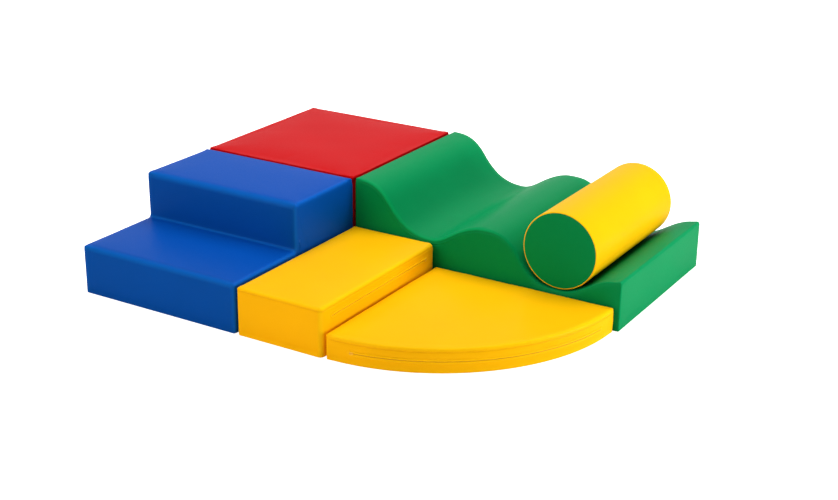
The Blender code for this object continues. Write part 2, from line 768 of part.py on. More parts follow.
def make_roller(x, y, z):
    """The roller. Its pieces are turned round its own axis, which runs along Y. Its zip runs along it."""
    module = place_module("roller", x, y, z)
    half = ROLLER_LENGTH / 2 - DISC_CROWN
    lip = ROLLER_RADIUS - ROLLER_LIP
    bend_radius, bend_height = ROLLER_RADIUS - ROLLER_RIM_RADIUS, half - ROLLER_RIM_RADIUS
    thin_bend = ROLLER_RIM_RADIUS - COVER_WALL
    outer = [(lip, half)] + arc_points(bend_radius, bend_height, ROLLER_RIM_RADIUS, 90, 0)
    outer += arc_points(bend_radius, -bend_height, ROLLER_RIM_RADIUS, 0, -90) + [(lip, -half)]
    inner = [(lip, COVER_WALL - half)] + arc_points(bend_radius, -bend_height, thin_bend, -90, 0)
    inner += arc_points(bend_radius, bend_height, thin_bend, 0, 90) + [(lip, half - COVER_WALL)]
    upright = SWEEP_TURNS["Y"].to_4x4()
    inwards = -Vector((math.cos(ROLLER_ZIP_ANGLE), 0, math.sin(ROLLER_ZIP_ANGLE)))
    frame = face_frame(-ROLLER_RADIUS * inwards, AXES["Y"], inwards)
    wall_radius = ROLLER_RADIUS - COVER_WALL
    nearest = wall_radius * math.cos(math.pi / ROUND_STEPS)
    sink = wall_radius - math.sqrt(nearest**2 - (TAPE_WIDTH / 2) ** 2)
    length = 2 * (half - ZIP_END_MARGIN)
    tape, slot, groove = straight_zip(length, sink)
    slot.transform(frame)
    groove.transform(frame)

    tube = turn_profile(outer + inner)
    tube.transform(upright)
    cut(place_piece("roller_cover", tube, "yellow_cover", module), [slot])

    disc_radius = lip - CLEARANCE
    for name, flip in (("front", 1), ("back", -1)):
        under = [(radius, height - COVER_WALL) for radius, height in disc_face(half, disc_radius)]
        disc = turn_profile(disc_face(half, disc_radius) + under[::-1])
        disc.transform(Matrix.Rotation(math.pi * (1 - flip) / 2, 4, "X") @ upright)
        place_piece(f"roller_{name}_disc", disc, "green_cover", module)

    foam_inset = COVER_WALL + CLEARANCE
    top = half - foam_inset
    bend = ROLLER_RIM_RADIUS - foam_inset
    end = disc_face(top, disc_radius) + arc_points(bend_radius, top - bend, bend, 90, 0)
    foam = turn_profile(end + [(radius, -height) for radius, height in reversed(end)])
    foam.transform(upright)
    cut(place_piece("roller_foam", foam, "foam", module), [groove])

    place_piece("roller_zip_tape", tape, "yellow_zip_tape", module, frame)
    closed = frame @ Matrix.Translation((slider_stand(length), 0, 0))
    place_slider("roller_zip_slider", module, "yellow_zip_slider", closed)
    return module


def join_neighbours(names, modules, middle, across):
    """A hook strip on the first module and a loop strip on the second, in the gap that starts at the middle
    point of the first one's face. Across points from the first module to the second."""
    half = STRIP_LENGTH / 2
    outline = rectangle(-half, half, -STRIP_WIDTH / 2, STRIP_WIDTH / 2, STRIP_CORNER)
    depth = CLEARANCE
    for name, module, finish in zip(names, modules, ("hook_strip", "loop_strip")):
        run = across.cross(AXES["Z"])
        frame = face_frame(middle - module.location, run, across)
        mesh = sweep(outline, "Y", depth, depth + STRIP_THICKNESS)
        place_piece(name, mesh, finish, module, frame)
        depth += STRIP_THICKNESS + CLEARANCE


def main():
    """Lays the set out from its front left corner and joins the neighbours."""
    for name in FINISHES:
        MATERIALS[name] = make_finish(name)
    seam_x = STAIR_WIDTH + MODULE_GAP
    seam_y = STAIR_DEPTH + MODULE_GAP
    mat_x = seam_x + LOW_BLOCK_WIDTH + MODULE_GAP
    set_length = max(seam_x + WAVE_LENGTH, mat_x + MAT_RADIUS)
    set_depth = seam_y + max(PLATFORM_DEPTH, WAVE_DEPTH)
    left, front = -set_length / 2, -set_depth / 2

    stair = make_stair(left, front)
    platform = make_platform(left, front + seam_y)
    wave = make_wave(left + seam_x, front + seam_y)
    low_block = make_low_block(left + seam_x, front)
    mat = make_mat(left + mat_x, front + STAIR_DEPTH)
    seat_x, seat_z = roller_seat()
    roller_middle = front + seam_y + ROLLER_FRONT_SETBACK + ROLLER_LENGTH / 2
    make_roller(left + seam_x + seat_x, roller_middle, seat_z)

    to_right, to_back = AXES["X"], AXES["Y"]
    deck_middle, low_middle, mat_middle = DECK_HEIGHT / 2, LOW_BLOCK_HEIGHT / 2, MAT_HEIGHT / 2
    stair_middle = left + STAIR_WIDTH / 2
    low_block_middle = left + seam_x + LOW_BLOCK_WIDTH / 2
    back_middle = front + seam_y + min(PLATFORM_DEPTH, WAVE_DEPTH) / 2
    stair_front_middle = front + STAIR_DEPTH / 2
    mat_side_middle = front + STAIR_DEPTH - MAT_RADIUS / 2
    seams = (
        (("stair_back", "platform_front"), (stair, platform),
         (stair_middle, front + STAIR_DEPTH, deck_middle), to_back),
        (("stair_side", "low_block_left"), (stair, low_block),
         (left + STAIR_WIDTH, stair_front_middle, low_middle), to_right),
        (("platform_side", "wave_end"), (platform, wave),
         (left + STAIR_WIDTH, back_middle, deck_middle), to_right),
        (("low_block_back", "wave_front_left"), (low_block, wave),
         (low_block_middle, front + STAIR_DEPTH, low_middle), to_back),
        (("quarter_mat_back", "wave_front_right"), (mat, wave),
         (left + mat_x + MAT_RADIUS / 2, front + STAIR_DEPTH, mat_middle), to_back),
        (("low_block_right", "quarter_mat_side"), (low_block, mat),
         (left + mat_x - MODULE_GAP, mat_side_middle, mat_middle), to_right),
    )
    for (first, second), modules, middle, across in seams:
        join_neighbours((f"{first}_hook_strip", f"{second}_loop_strip"), modules, Vector(middle), across)


MATERIALS = {}
PARTS, CUTTERS = start_scene()
main()
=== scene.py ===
"""Looks of a soft play climber: foam modules in sewn, coated cloth covers, with zips, base cloths and strips.

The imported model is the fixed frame. Every cover is a closed surface worked out with numpy, filled by a short
cloth simulation and then drawn in along its seams. Lengths are in metres, +Z is up.
"""

import logging
import math
from dataclasses import dataclass, field
from enum import Enum
from functools import cached_property

import bpy
import numpy as np
from mathutils import Matrix, Vector


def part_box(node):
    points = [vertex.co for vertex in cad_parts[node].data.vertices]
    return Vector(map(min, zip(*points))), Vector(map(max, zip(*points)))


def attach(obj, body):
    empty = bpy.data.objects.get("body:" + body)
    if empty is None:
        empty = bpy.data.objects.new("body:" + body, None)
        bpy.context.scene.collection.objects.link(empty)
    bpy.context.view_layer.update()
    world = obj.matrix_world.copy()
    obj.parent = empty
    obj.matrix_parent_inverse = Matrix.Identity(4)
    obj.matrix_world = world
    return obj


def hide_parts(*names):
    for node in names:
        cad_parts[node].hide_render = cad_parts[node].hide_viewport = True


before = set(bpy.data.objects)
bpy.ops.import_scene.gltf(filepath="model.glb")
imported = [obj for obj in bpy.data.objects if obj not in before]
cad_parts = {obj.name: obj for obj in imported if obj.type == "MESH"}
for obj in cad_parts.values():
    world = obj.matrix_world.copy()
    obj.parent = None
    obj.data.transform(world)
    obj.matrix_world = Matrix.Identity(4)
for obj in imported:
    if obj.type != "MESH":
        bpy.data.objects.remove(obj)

LOG = logging.getLogger("climber")
MM = 0.001
# The seam distance, in millimetres, of points that no seam reaches.
FAR = 60.0
HALF_GAP = 2.0 * MM
Array = np.ndarray


class Side(Enum):
    """The six directions that a face can look in."""

    LEFT = (-1, 0, 0)
    RIGHT = (1, 0, 0)
    FRONT = (0, -1, 0)
    BACK = (0, 1, 0)
    UNDER = (0, 0, -1)
    TOP = (0, 0, 1)


# How far each side of a cover may swell, in millimetres.
Rooms = tuple[tuple[Side, float], ...]


class Laying(Enum):
    """How an outline lies in the frame: the rows give its two axes and the direction of its width."""

    ALONG_X = ((0, 1, 0), (0, 0, 1), (1, 0, 0))
    TOWARDS_FRONT = ((1, 0, 0), (0, 0, 1), (0, -1, 0))
    UPWARDS = ((1, 0, 0), (0, 1, 0), (0, 0, 1))


# Materials


def linear(code: str) -> tuple[float, float, float, float]:
    """Turns an sRGB hex colour into linear light.

    Args:
        code: six hex digits.

    Returns:
        Red, green, blue and a full alpha.
    """
    srgb = np.array([int(code[i : i + 2], 16) / 255 for i in (0, 2, 4)])
    light = np.where(srgb <= 0.04045, srgb / 12.92, ((srgb + 0.055) / 1.055) ** 2.4)
    return (*(float(channel) for channel in light), 1.0)


@dataclass(frozen=True)
class Nodes:
    """A node tree, with short ways to add the nodes that the finishes share.

    Attributes:
        tree: the tree of a material or of the world.
    """

    tree: bpy.types.NodeTree

    def add(self, kind: str, inputs: dict | None = None, **settings) -> bpy.types.Node:
        """Adds one node with its settings, values and links.

        Args:
            kind: the node's type name, without ShaderNode in front.
            inputs: a value or another node's output for each named or numbered input.
            settings: the node's own properties.

        Returns:
            The new node.
        """
        node = self.tree.nodes.new(f"ShaderNode{kind}")
        for name, value in settings.items():
            setattr(node, name, value)
        for key, value in (inputs or {}).items():
            self.feed(node, key, value)
        return node

    def feed(self, node: bpy.types.Node, key: str | int, value: object) -> None:
        """Links another node's output to an input, or sets the input's value."""
        if isinstance(value, bpy.types.NodeSocket):
            self.tree.links.new(value, node.inputs[key])
        else:
            node.inputs[key].default_value = value

    def attribute(self, name: str) -> bpy.types.NodeSocket:
        """Returns the value of a piece's named attribute."""
        return self.add("Attribute", attribute_name=name).outputs["Fac"]

    def texture(self, kind: str, scale: float, inputs: dict | None = None, **settings) -> bpy.types.Node:
        """Adds a texture that lies in the object's own space, in metres."""
        place = self.add("TexCoord").outputs["Object"]
        return self.add(f"Tex{kind}", {"Vector": place, "Scale": scale, **(inputs or {})}, **settings)

    def cloud(self, scale: float, detail: float) -> bpy.types.NodeSocket:
        """Returns a cloudy noise around 0.5."""
        return self.texture("Noise", scale, {"Detail": detail}).outputs["Fac"]

    def math(self, operation: str, *values: object, **settings) -> bpy.types.NodeSocket:
        """Returns the result of one operation on up to three values."""
        return self.add("Math", dict(enumerate(values)), operation=operation, **settings).outputs[0]

    def mix(self, share: object, first: object, second: object) -> bpy.types.NodeSocket:
        """Returns a colour between two: the first where the share is 0, the second where it is 1."""
        return self.add("Mix", {0: share, 6: first, 7: second}, data_type="RGBA").outputs[2]

    def remap(
        self, value: object, start: float, end: float, low: float = 0.0, high: float = 1.0, **settings
    ) -> bpy.types.NodeSocket:
        """Returns a value moved from the range between low and high to the one from start to end."""
        return self.add("MapRange", {0: value, 1: low, 2: high, 3: start, 4: end}, **settings).outputs[0]


def blank(name: str) -> tuple[bpy.types.Material, Nodes, bpy.types.Node]:
    """Makes a material.

    Args:
        name: the material's name.

    Returns:
        The material, its nodes and its Principled shader.
    """
    material = bpy.data.materials.new(name)
    material.use_nodes = True
    return material, Nodes(material.node_tree), material.node_tree.nodes["Principled BSDF"]


@dataclass(frozen=True)
class Finish:
    """What all finishes share: a name, a colour and a roughness, and a relief that the bump gives.

    Attributes:
        name: the material's name.
        colour: its sRGB colour.
        dim: the share of the colour that is left in the dark parts of its texture.
        roughness: the mean roughness.
        strength: how strongly the relief shows.
        depth: the relief's height.
        reflection: the shader's specular level.
    """

    name: str
    colour: str
    dim: float = 0.7
    roughness: float = 0.5
    strength: float = 0.5
    depth: float = 0.1 * MM
    reflection: float = 0.5

    def material(self) -> bpy.types.Material:
        """Builds the material."""
        raise NotImplementedError

    def toned(self, nodes: Nodes, share: object) -> bpy.types.NodeSocket:
        """Returns the colour, dimmed where the share is 0."""
        light = linear(self.colour)
        return nodes.mix(share, tuple(self.dim * channel for channel in light), light)

    def varied(self, nodes: Nodes, cloud: object) -> bpy.types.NodeSocket:
        """Returns the roughness, a little more or less as the cloud says."""
        return nodes.remap(cloud, self.roughness - 0.06, self.roughness + 0.06)

    def connect(
        self, nodes: Nodes, shader: bpy.types.Node, colour: object, rough: object, relief: object
    ) -> None:
        """Connects the shader.

        Args:
            nodes: the material's nodes.
            shader: its Principled shader.
            colour: the colour's output.
            rough: the roughness or its output.
            relief: the output that stands out, from 0 to 1.
        """
        height = {"Height": relief, "Strength": self.strength, "Distance": self.depth}
        nodes.feed(shader, "Base Color", colour)
        nodes.feed(shader, "Roughness", rough)
        nodes.feed(shader, "Normal", nodes.add("Bump", height).outputs["Normal"])
        nodes.feed(shader, "Specular IOR Level", self.reflection)


@dataclass(frozen=True)
class CoatedCloth(Finish):
    """Polyurethane-coated polyester, as on wipe-clean play blocks: a satin skin with a soft, pebbled grain.

    Rolled edges and the bends of corners get a painted highlight, a lighter colour, and a little more gloss
    where the coat stretches thin; the cloth along the seams gets painted shade. The matt lacquer takes most of
    the coat's reflection away, which is far below a bare plastic's 0.5.
    """

    # The lighter colour of the painted highlight on rolled edges and bends.
    edge_highlight_colour: str = ""
    # The darker colour of the painted seam shade, which the stitches' thread has too.
    seam_shade_and_thread_colour: str = ""
    dim: float = 0.955
    roughness: float = 0.38
    strength: float = 0.35
    depth: float = 0.3 * MM
    reflection: float = 0.025
    # The slow change of tone over a face has about five clouds in a metre.
    clouds: float = 5.0
    # Real grain is about 1 mm across. It is drawn 2.2 mm across, which shows at the photograph's distance.
    grain: float = 2.2 * MM
    # How far a rolled edge goes towards the lighter colour of the painted highlight.
    edge_highlight_share: float = 0.55
    edge_gloss: float = 0.05
    # Stitches are 5 mm long with 2 mm between them, 3 mm beside the seam. These lengths are in millimetres.
    stitch_pitch: float = 7.0
    stitch_length: float = 5.0
    stitch_offset: float = 3.0
    stitch_half_width: float = 0.5
    stitch_shade: float = 0.15
    stitch_height: float = 0.6
    # The painted seam shade fades out over seam_reach millimetres and is at most seam_shade of the way to the
    # dark colour.
    seam_reach: float = 2.4
    seam_shade: float = 0.35

    def material(self) -> bpy.types.Material:
        """Builds the material from the attributes edge and sewn (0 to 1), seam and run (in millimetres)."""
        material, nodes, shader = blank(self.name)
        edge, away, run, sewn = (nodes.attribute(name) for name in ("edge", "seam", "run", "sewn"))
        pore = nodes.cloud(0.4 / self.grain, 4.0)
        grain = nodes.texture("Voronoi", 1 / self.grain).outputs["Distance"]

        falling = {"high": self.seam_reach, "interpolation_type": "SMOOTHSTEP"}
        shade = nodes.math("MULTIPLY", nodes.remap(away, self.seam_shade, 0.0, **falling), sewn)
        beside = nodes.math("ABSOLUTE", nodes.math("SUBTRACT", away, self.stitch_offset))
        on_line = nodes.math("LESS_THAN", beside, self.stitch_half_width)
        in_dash = nodes.math("LESS_THAN", nodes.math("MODULO", run, self.stitch_pitch), self.stitch_length)
        stitch = nodes.math("MULTIPLY", nodes.math("MULTIPLY", on_line, in_dash), sewn)
        thread = nodes.math("MULTIPLY", stitch, self.stitch_shade)

        body = self.toned(nodes, nodes.remap(nodes.cloud(self.clouds, 3.0), 0.0, 1.0, low=0.3, high=0.7))
        # Painted highlight: rolled edges and corner bends are mixed towards a lighter colour.
        highlighted = nodes.mix(nodes.math("MULTIPLY", edge, self.edge_highlight_share), body, linear(self.edge_highlight_colour))
        # Painted shade along the seams, then the stitches' thread in the same dark colour.
        shaded = nodes.mix(shade, highlighted, linear(self.seam_shade_and_thread_colour))
        threaded = nodes.mix(thread, shaded, linear(self.seam_shade_and_thread_colour))
        rough = nodes.math("MULTIPLY_ADD", edge, -self.edge_gloss, self.varied(nodes, pore))
        relief = nodes.math("MULTIPLY_ADD", stitch, self.stitch_height, nodes.math("ADD", grain, pore))
        self.connect(nodes, shader, threaded, rough, relief)
        return material


@dataclass(frozen=True)
class Webbing(Finish):
    """Woven or needled polyester and nylon, as in zips, hook tape and loop tape: matt and finely ribbed."""

    rib: float = 1.2 * MM
    roughness: float = 0.85
    strength: float = 0.6
    depth: float = 0.3 * MM
    reflection: float = 0.2

    def material(self) -> bpy.types.Material:
        """Builds the material: slanting ribs make the weave, and a cloud makes the thread's uneven tone."""
        material, nodes, shader = blank(self.name)
        # A slanting wave is 2 pi / (10 * scale) long along each axis, which is twice the rib here.
        ribs = nodes.texture("Wave", 0.159 / self.rib * 2, bands_direction="DIAGONAL").outputs["Fac"]
        weave = nodes.math("MULTIPLY", ribs, nodes.cloud(1 / self.rib, 2.0))
        self.connect(nodes, shader, self.toned(nodes, weave), self.roughness, weave)
        return material


@dataclass(frozen=True)
class DottedCloth(Finish):
    """Polyester cloth with raised dots of soft vinyl, which keep a module from sliding on a smooth floor."""

    dot: str = ""
    strength: float = 0.7
    depth: float = 0.8 * MM
    roughness: float = 0.85
    dot_roughness: float = 0.5
    # Dots of 4 mm, 9 mm apart, on a cloth whose thread is 1.1 mm.
    pitch: float = 9.0 * MM
    dot_share: float = 0.22
    threads: float = 900.0

    def material(self) -> bpy.types.Material:
        """Builds the material: a dot stands wherever the nearest point of an even grid is close."""
        material, nodes, shader = blank(self.name)
        away = nodes.texture("Voronoi", 1 / self.pitch, {"Randomness": 0.0}).outputs["Distance"]
        dots = nodes.remap(away, 1.0, 0.0, low=self.dot_share, high=self.dot_share * 1.2)
        cloth = self.toned(nodes, nodes.cloud(self.threads, 2.0))
        rough = nodes.remap(dots, self.roughness, self.dot_roughness)
        self.connect(nodes, shader, nodes.mix(dots, cloth, linear(self.dot)), rough, dots)
        return material


@dataclass(frozen=True)
class EnamelledZinc(Finish):
    """Die-cast zinc under baked enamel, as on coloured zip sliders: glossy, with a faint orange peel."""

    dim: float = 0.88
    roughness: float = 0.28
    strength: float = 0.3
    depth: float = 0.05 * MM
    # Orange peel is about 1 mm from hump to hump.
    peel: float = 1.0 * MM

    def material(self) -> bpy.types.Material:
        """Builds the material: a cloud of the peel's size lifts the enamel and varies its gloss and tone."""
        material, nodes, shader = blank(self.name)
        cloud = nodes.cloud(1 / self.peel, 3.0)
        self.connect(nodes, shader, self.toned(nodes, cloud), self.varied(nodes, cloud), cloud)
        return material


@dataclass
class Finishes:
    """All finishes of the set, each made once when it is first asked for."""

    # Each cloth has its face colour, a lighter colour for the painted highlight, and a darker one for the
    # painted seam shade and the thread.
    blue: Finish = CoatedCloth("blue_coated_cloth", "034EB1", edge_highlight_colour="1068CC", seam_shade_and_thread_colour="06307A")
    red: Finish = CoatedCloth("red_coated_cloth", "C7050D", edge_highlight_colour="DC0C14", seam_shade_and_thread_colour="90060A")
    green: Finish = CoatedCloth("green_coated_cloth", "048E53", edge_highlight_colour="0CA25E", seam_shade_and_thread_colour="02622E")
    yellow: Finish = CoatedCloth("yellow_coated_cloth", "FFC006", edge_highlight_colour="FFD00E", seam_shade_and_thread_colour="D88A00")
    blue_zip: Finish = Webbing("blue_zip_nylon", "0A4596", roughness=0.6)
    red_zip: Finish = Webbing("red_zip_nylon", "B0181E", roughness=0.6)
    green_zip: Finish = Webbing("green_zip_nylon", "047440", roughness=0.6)
    yellow_zip: Finish = Webbing("yellow_zip_nylon", "E09C08", roughness=0.6)
    blue_slider: Finish = EnamelledZinc("blue_enamel", "0452B3")
    red_slider: Finish = EnamelledZinc("red_enamel", "CC070E")
    green_slider: Finish = EnamelledZinc("green_enamel", "0A8F50")
    yellow_slider: Finish = EnamelledZinc("yellow_enamel", "FFC106")
    hook: Finish = Webbing("hook_tape", "1E1F22", rib=1.6 * MM, roughness=0.7, depth=0.6 * MM)
    loop: Finish = Webbing("loop_tape", "2E2F33", rib=1.0 * MM, roughness=0.95, depth=0.4 * MM)
    base: Finish = DottedCloth("dotted_base_cloth", "26282B", dot="46484C")
    made: dict[str, bpy.types.Material] = field(default_factory=dict)

    def get(self, name: str) -> bpy.types.Material:
        """Returns the material of the named finish."""
        if name not in self.made:
            self.made[name] = getattr(self, name).material()
        return self.made[name]


# Surfaces


@dataclass(frozen=True)
class Outline:
    """A closed outline with rounded corners, which has the same number of points at every inset.

    Attributes:
        corners: the corners, counter-clockwise, as n by 2.
        radii: the rounding of each corner. A corner without one is a single point of a smooth line.
        parts: the number of parts of the side that leaves each corner.
        patch: the four corners at which the end panel's grid turns.
        arc_parts: the number of parts of each rounded corner.
        least_radius: the least rounding that a rounded corner keeps when the outline moves.
    """

    corners: Array
    radii: Array
    parts: Array
    patch: tuple[int, int, int, int]
    arc_parts: int = 6
    least_radius: float = 1.0 * MM

    @cached_property
    def kept(self) -> Array:
        """Which of the arc points of all corners stay: all of a rounded corner's, one of a plain corner's."""
        steps = np.arange(self.arc_parts + 1)
        return ((steps[None, :] == 0) | (self.radii[:, None] > 0)).ravel()

    @cached_property
    def counts(self) -> Array:
        """The number of parts that follow each arc point: one inside an arc, the side's own after it."""
        parts = np.ones((len(self.corners), self.arc_parts + 1), int)
        parts[:, -1] = self.parts
        parts[self.radii == 0, 0] = self.parts[self.radii == 0]
        return parts.ravel()[self.kept]

    @cached_property
    def turns(self) -> Array:
        """The numbers of the points at the middles of the four patch corners."""
        middle = np.where(self.radii > 0, self.arc_parts // 2, 0)
        flat = np.arange(len(self.corners)) * (self.arc_parts + 1) + middle
        place = (np.cumsum(self.kept) - 1)[flat[list(self.patch)]]
        starts = np.concatenate([[0], np.cumsum(self.counts)])
        return starts[place]

    @cached_property
    def steps(self) -> tuple[Array, Array]:
        """For each point, the arc point that it follows and how far it lies towards the next one."""
        owner = np.repeat(np.arange(len(self.counts)), self.counts)
        step = np.arange(len(owner)) - np.repeat(np.cumsum(self.counts) - self.counts, self.counts)
        return owner, step / np.repeat(self.counts, self.counts)

    @cached_property
    def bends(self) -> Array:
        """How strongly the line bends at each point: sin(pi t) over a rounded corner's arc, 0 elsewhere."""
        arc = np.sin(np.pi * np.linspace(0, 1, self.arc_parts + 1))
        values = (arc[None] * (self.radii[:, None] > 0)).ravel()[self.kept]
        owner, share = self.steps
        return np.roll(values[owner] * (1 - share) + np.roll(values, -1)[owner] * share, -self.turns[0])

    def loop(self, inset: float = 0.0) -> Array:
        """Works out the outline moved inwards.

        Each corner moves by inset * (m + n) / (1 + d.e), where m and n are the outward normals and d and e
        the directions of its sides. An arc of radius r and turn t starts r * tan(t / 2) before the corner.

        Args:
            inset: the distance inwards.

        Returns:
            The points, from the middle of the first patch corner on, as n by 2.
        """
        before = self.corners - np.roll(self.corners, 1, 0)
        before /= np.linalg.norm(before, axis=1, keepdims=True)
        after = np.roll(before, -1, 0)
        out_before, out_after = before[:, ::-1] * (1, -1), after[:, ::-1] * (1, -1)
        cosine = (before * after).sum(1)
        turn = np.arctan2(before[:, 0] * after[:, 1] - before[:, 1] * after[:, 0], cosine)
        moved = self.corners - inset * (out_before + out_after) / (1 + cosine)[:, None]
        rounded = np.maximum(self.radii - np.sign(turn) * inset, self.least_radius)
        radius = np.where(self.radii > 0, rounded, 0)
        start = moved - before * (radius * np.tan(np.abs(turn) / 2))[:, None]
        spoke = out_before * (radius * np.sign(turn))[:, None]
        angle = turn[:, None] * np.linspace(0, 1, self.arc_parts + 1)
        cos, sin = np.cos(angle), np.sin(angle)
        x, y = spoke[:, None, 0], spoke[:, None, 1]
        turned = np.stack([cos * x - sin * y, sin * x + cos * y], 2)
        points = ((start - spoke)[:, None] + turned).reshape(-1, 2)[self.kept]
        owner, share = self.steps
        line = points[owner] * (1 - share[:, None]) + np.roll(points, -1, 0)[owner] * share[:, None]
        return np.roll(line, -self.turns[0], 0)

    @cached_property
    def sides(self) -> tuple[int, int]:
        """The number of parts of the first two sides between patch corners."""
        total = int(self.counts.sum())
        first, second, third, _ = self.turns
        return int((second - first) % total), int((third - second) % total)


def rectangle(width: float, depth: float, radii: tuple[float, ...], part: float) -> Outline:
    """Makes a rectangle with rounded corners.

    Args:
        width: the size along the outline's first axis.
        depth: the size along its second axis.
        radii: the rounding of its front left, front right, back right and back left corners.
        part: the length of one part of a side.

    Returns:
        The outline.
    """
    corners = np.array([(0, 0), (width, 0), (width, depth), (0, depth)], float)
    wide, deep = (round((size - 2 * max(radii)) / part) for size in (width, depth))
    return Outline(corners, np.array(radii), np.array([wide, deep, wide, deep]), (0, 1, 2, 3))


def circle(radius: float, count: int) -> Outline:
    """Makes a circle about the origin from a number of points that four divides."""
    angle = 2 * np.pi * np.arange(count) / count
    points = radius * np.stack([np.cos(angle), np.sin(angle)], 1)
    quarter = count // 4
    return Outline(points, np.zeros(count), np.ones(count, int), (0, quarter, 2 * quarter, 3 * quarter))


def snug_near(distance: Array, least: float = 0.4) -> Array:
    """Returns a rim's fullness: least where the distance to a neighbour is 0, and 1 from 25 mm on."""
    return least + (1 - least) * np.clip(distance / (25 * MM), 0, 1)


def grid_faces(numbers: Array) -> Array:
    """Turns a grid of point numbers into quads that face along (second axis) x (first axis)."""
    near, far = numbers[:-1], numbers[1:]
    return np.stack([near[:, :-1], near[:, 1:], far[:, 1:], far[:, :-1]], 2).reshape(-1, 4)


def tube_faces(rows: int, count: int, closed: bool = False) -> Array:
    """Turns rows of points that each close on themselves into quads.

    Args:
        rows: the number of rows.
        count: the number of points in each.
        closed: whether the last row meets the first one.

    Returns:
        The quads' point numbers.
    """
    numbers = np.arange(rows * count).reshape(rows, count)
    ring = np.column_stack([numbers, numbers[:, 0]])
    return grid_faces(np.concatenate([ring, ring[:1]]) if closed else ring)


def mean_share(side: Array, other: Array) -> Array:
    """Returns the shares of two opposite sides' lengths at their points, from 0 to 1, as their mean."""
    lengths = np.stack([np.linalg.norm(np.diff(points, axis=0), axis=1) for points in (side, other)])
    reach = np.cumsum(lengths, axis=1)
    return np.concatenate([[0], (reach / reach[:, -1:]).mean(0)])


def panel(loop: Array, sides: tuple[int, int]) -> Array:
    """Fills a closed loop with a grid that blends its four sides.

    With u and v as the shares of the sides' lengths, the point is the ruled surface between bottom and top,
    plus the one between left and right, less the bilinear surface through the four corners.

    Args:
        loop: the loop's points, as n by 2.
        sides: the number of parts of its first and second side.

    Returns:
        The grid, from bottom to top and left to right, with the loop as its border.
    """
    wide, high = sides
    ring = np.concatenate([loop, loop[:1]])
    bottom, right = ring[: wide + 1], ring[wide : wide + high + 1]
    top, left = ring[wide + high : 2 * wide + high + 1][::-1], ring[2 * wide + high :][::-1]
    u, v = mean_share(bottom, top)[None, :, None], mean_share(left, right)[:, None, None]
    ruled = (1 - v) * bottom[None] + v * top[None] + (1 - u) * left[:, None] + u * right[:, None]
    corners = (1 - v) * ((1 - u) * bottom[0] + u * bottom[-1]) + v * ((1 - u) * top[0] + u * top[-1])
    return ruled - corners


@dataclass
class Rows:
    """The rows of points that carry a loop over a closed body, from the middle of one end to the other.

    Attributes:
        inset: how far inside the outline each row lies.
        height: how far along the width each row lies.
        edge: 1 on a rolled edge, 0 away from it. It places the painted highlight and the extra gloss.
        seam: millimetres from the nearest seam, at most FAR.
    """

    inset: Array
    height: Array
    edge: Array
    seam: Array


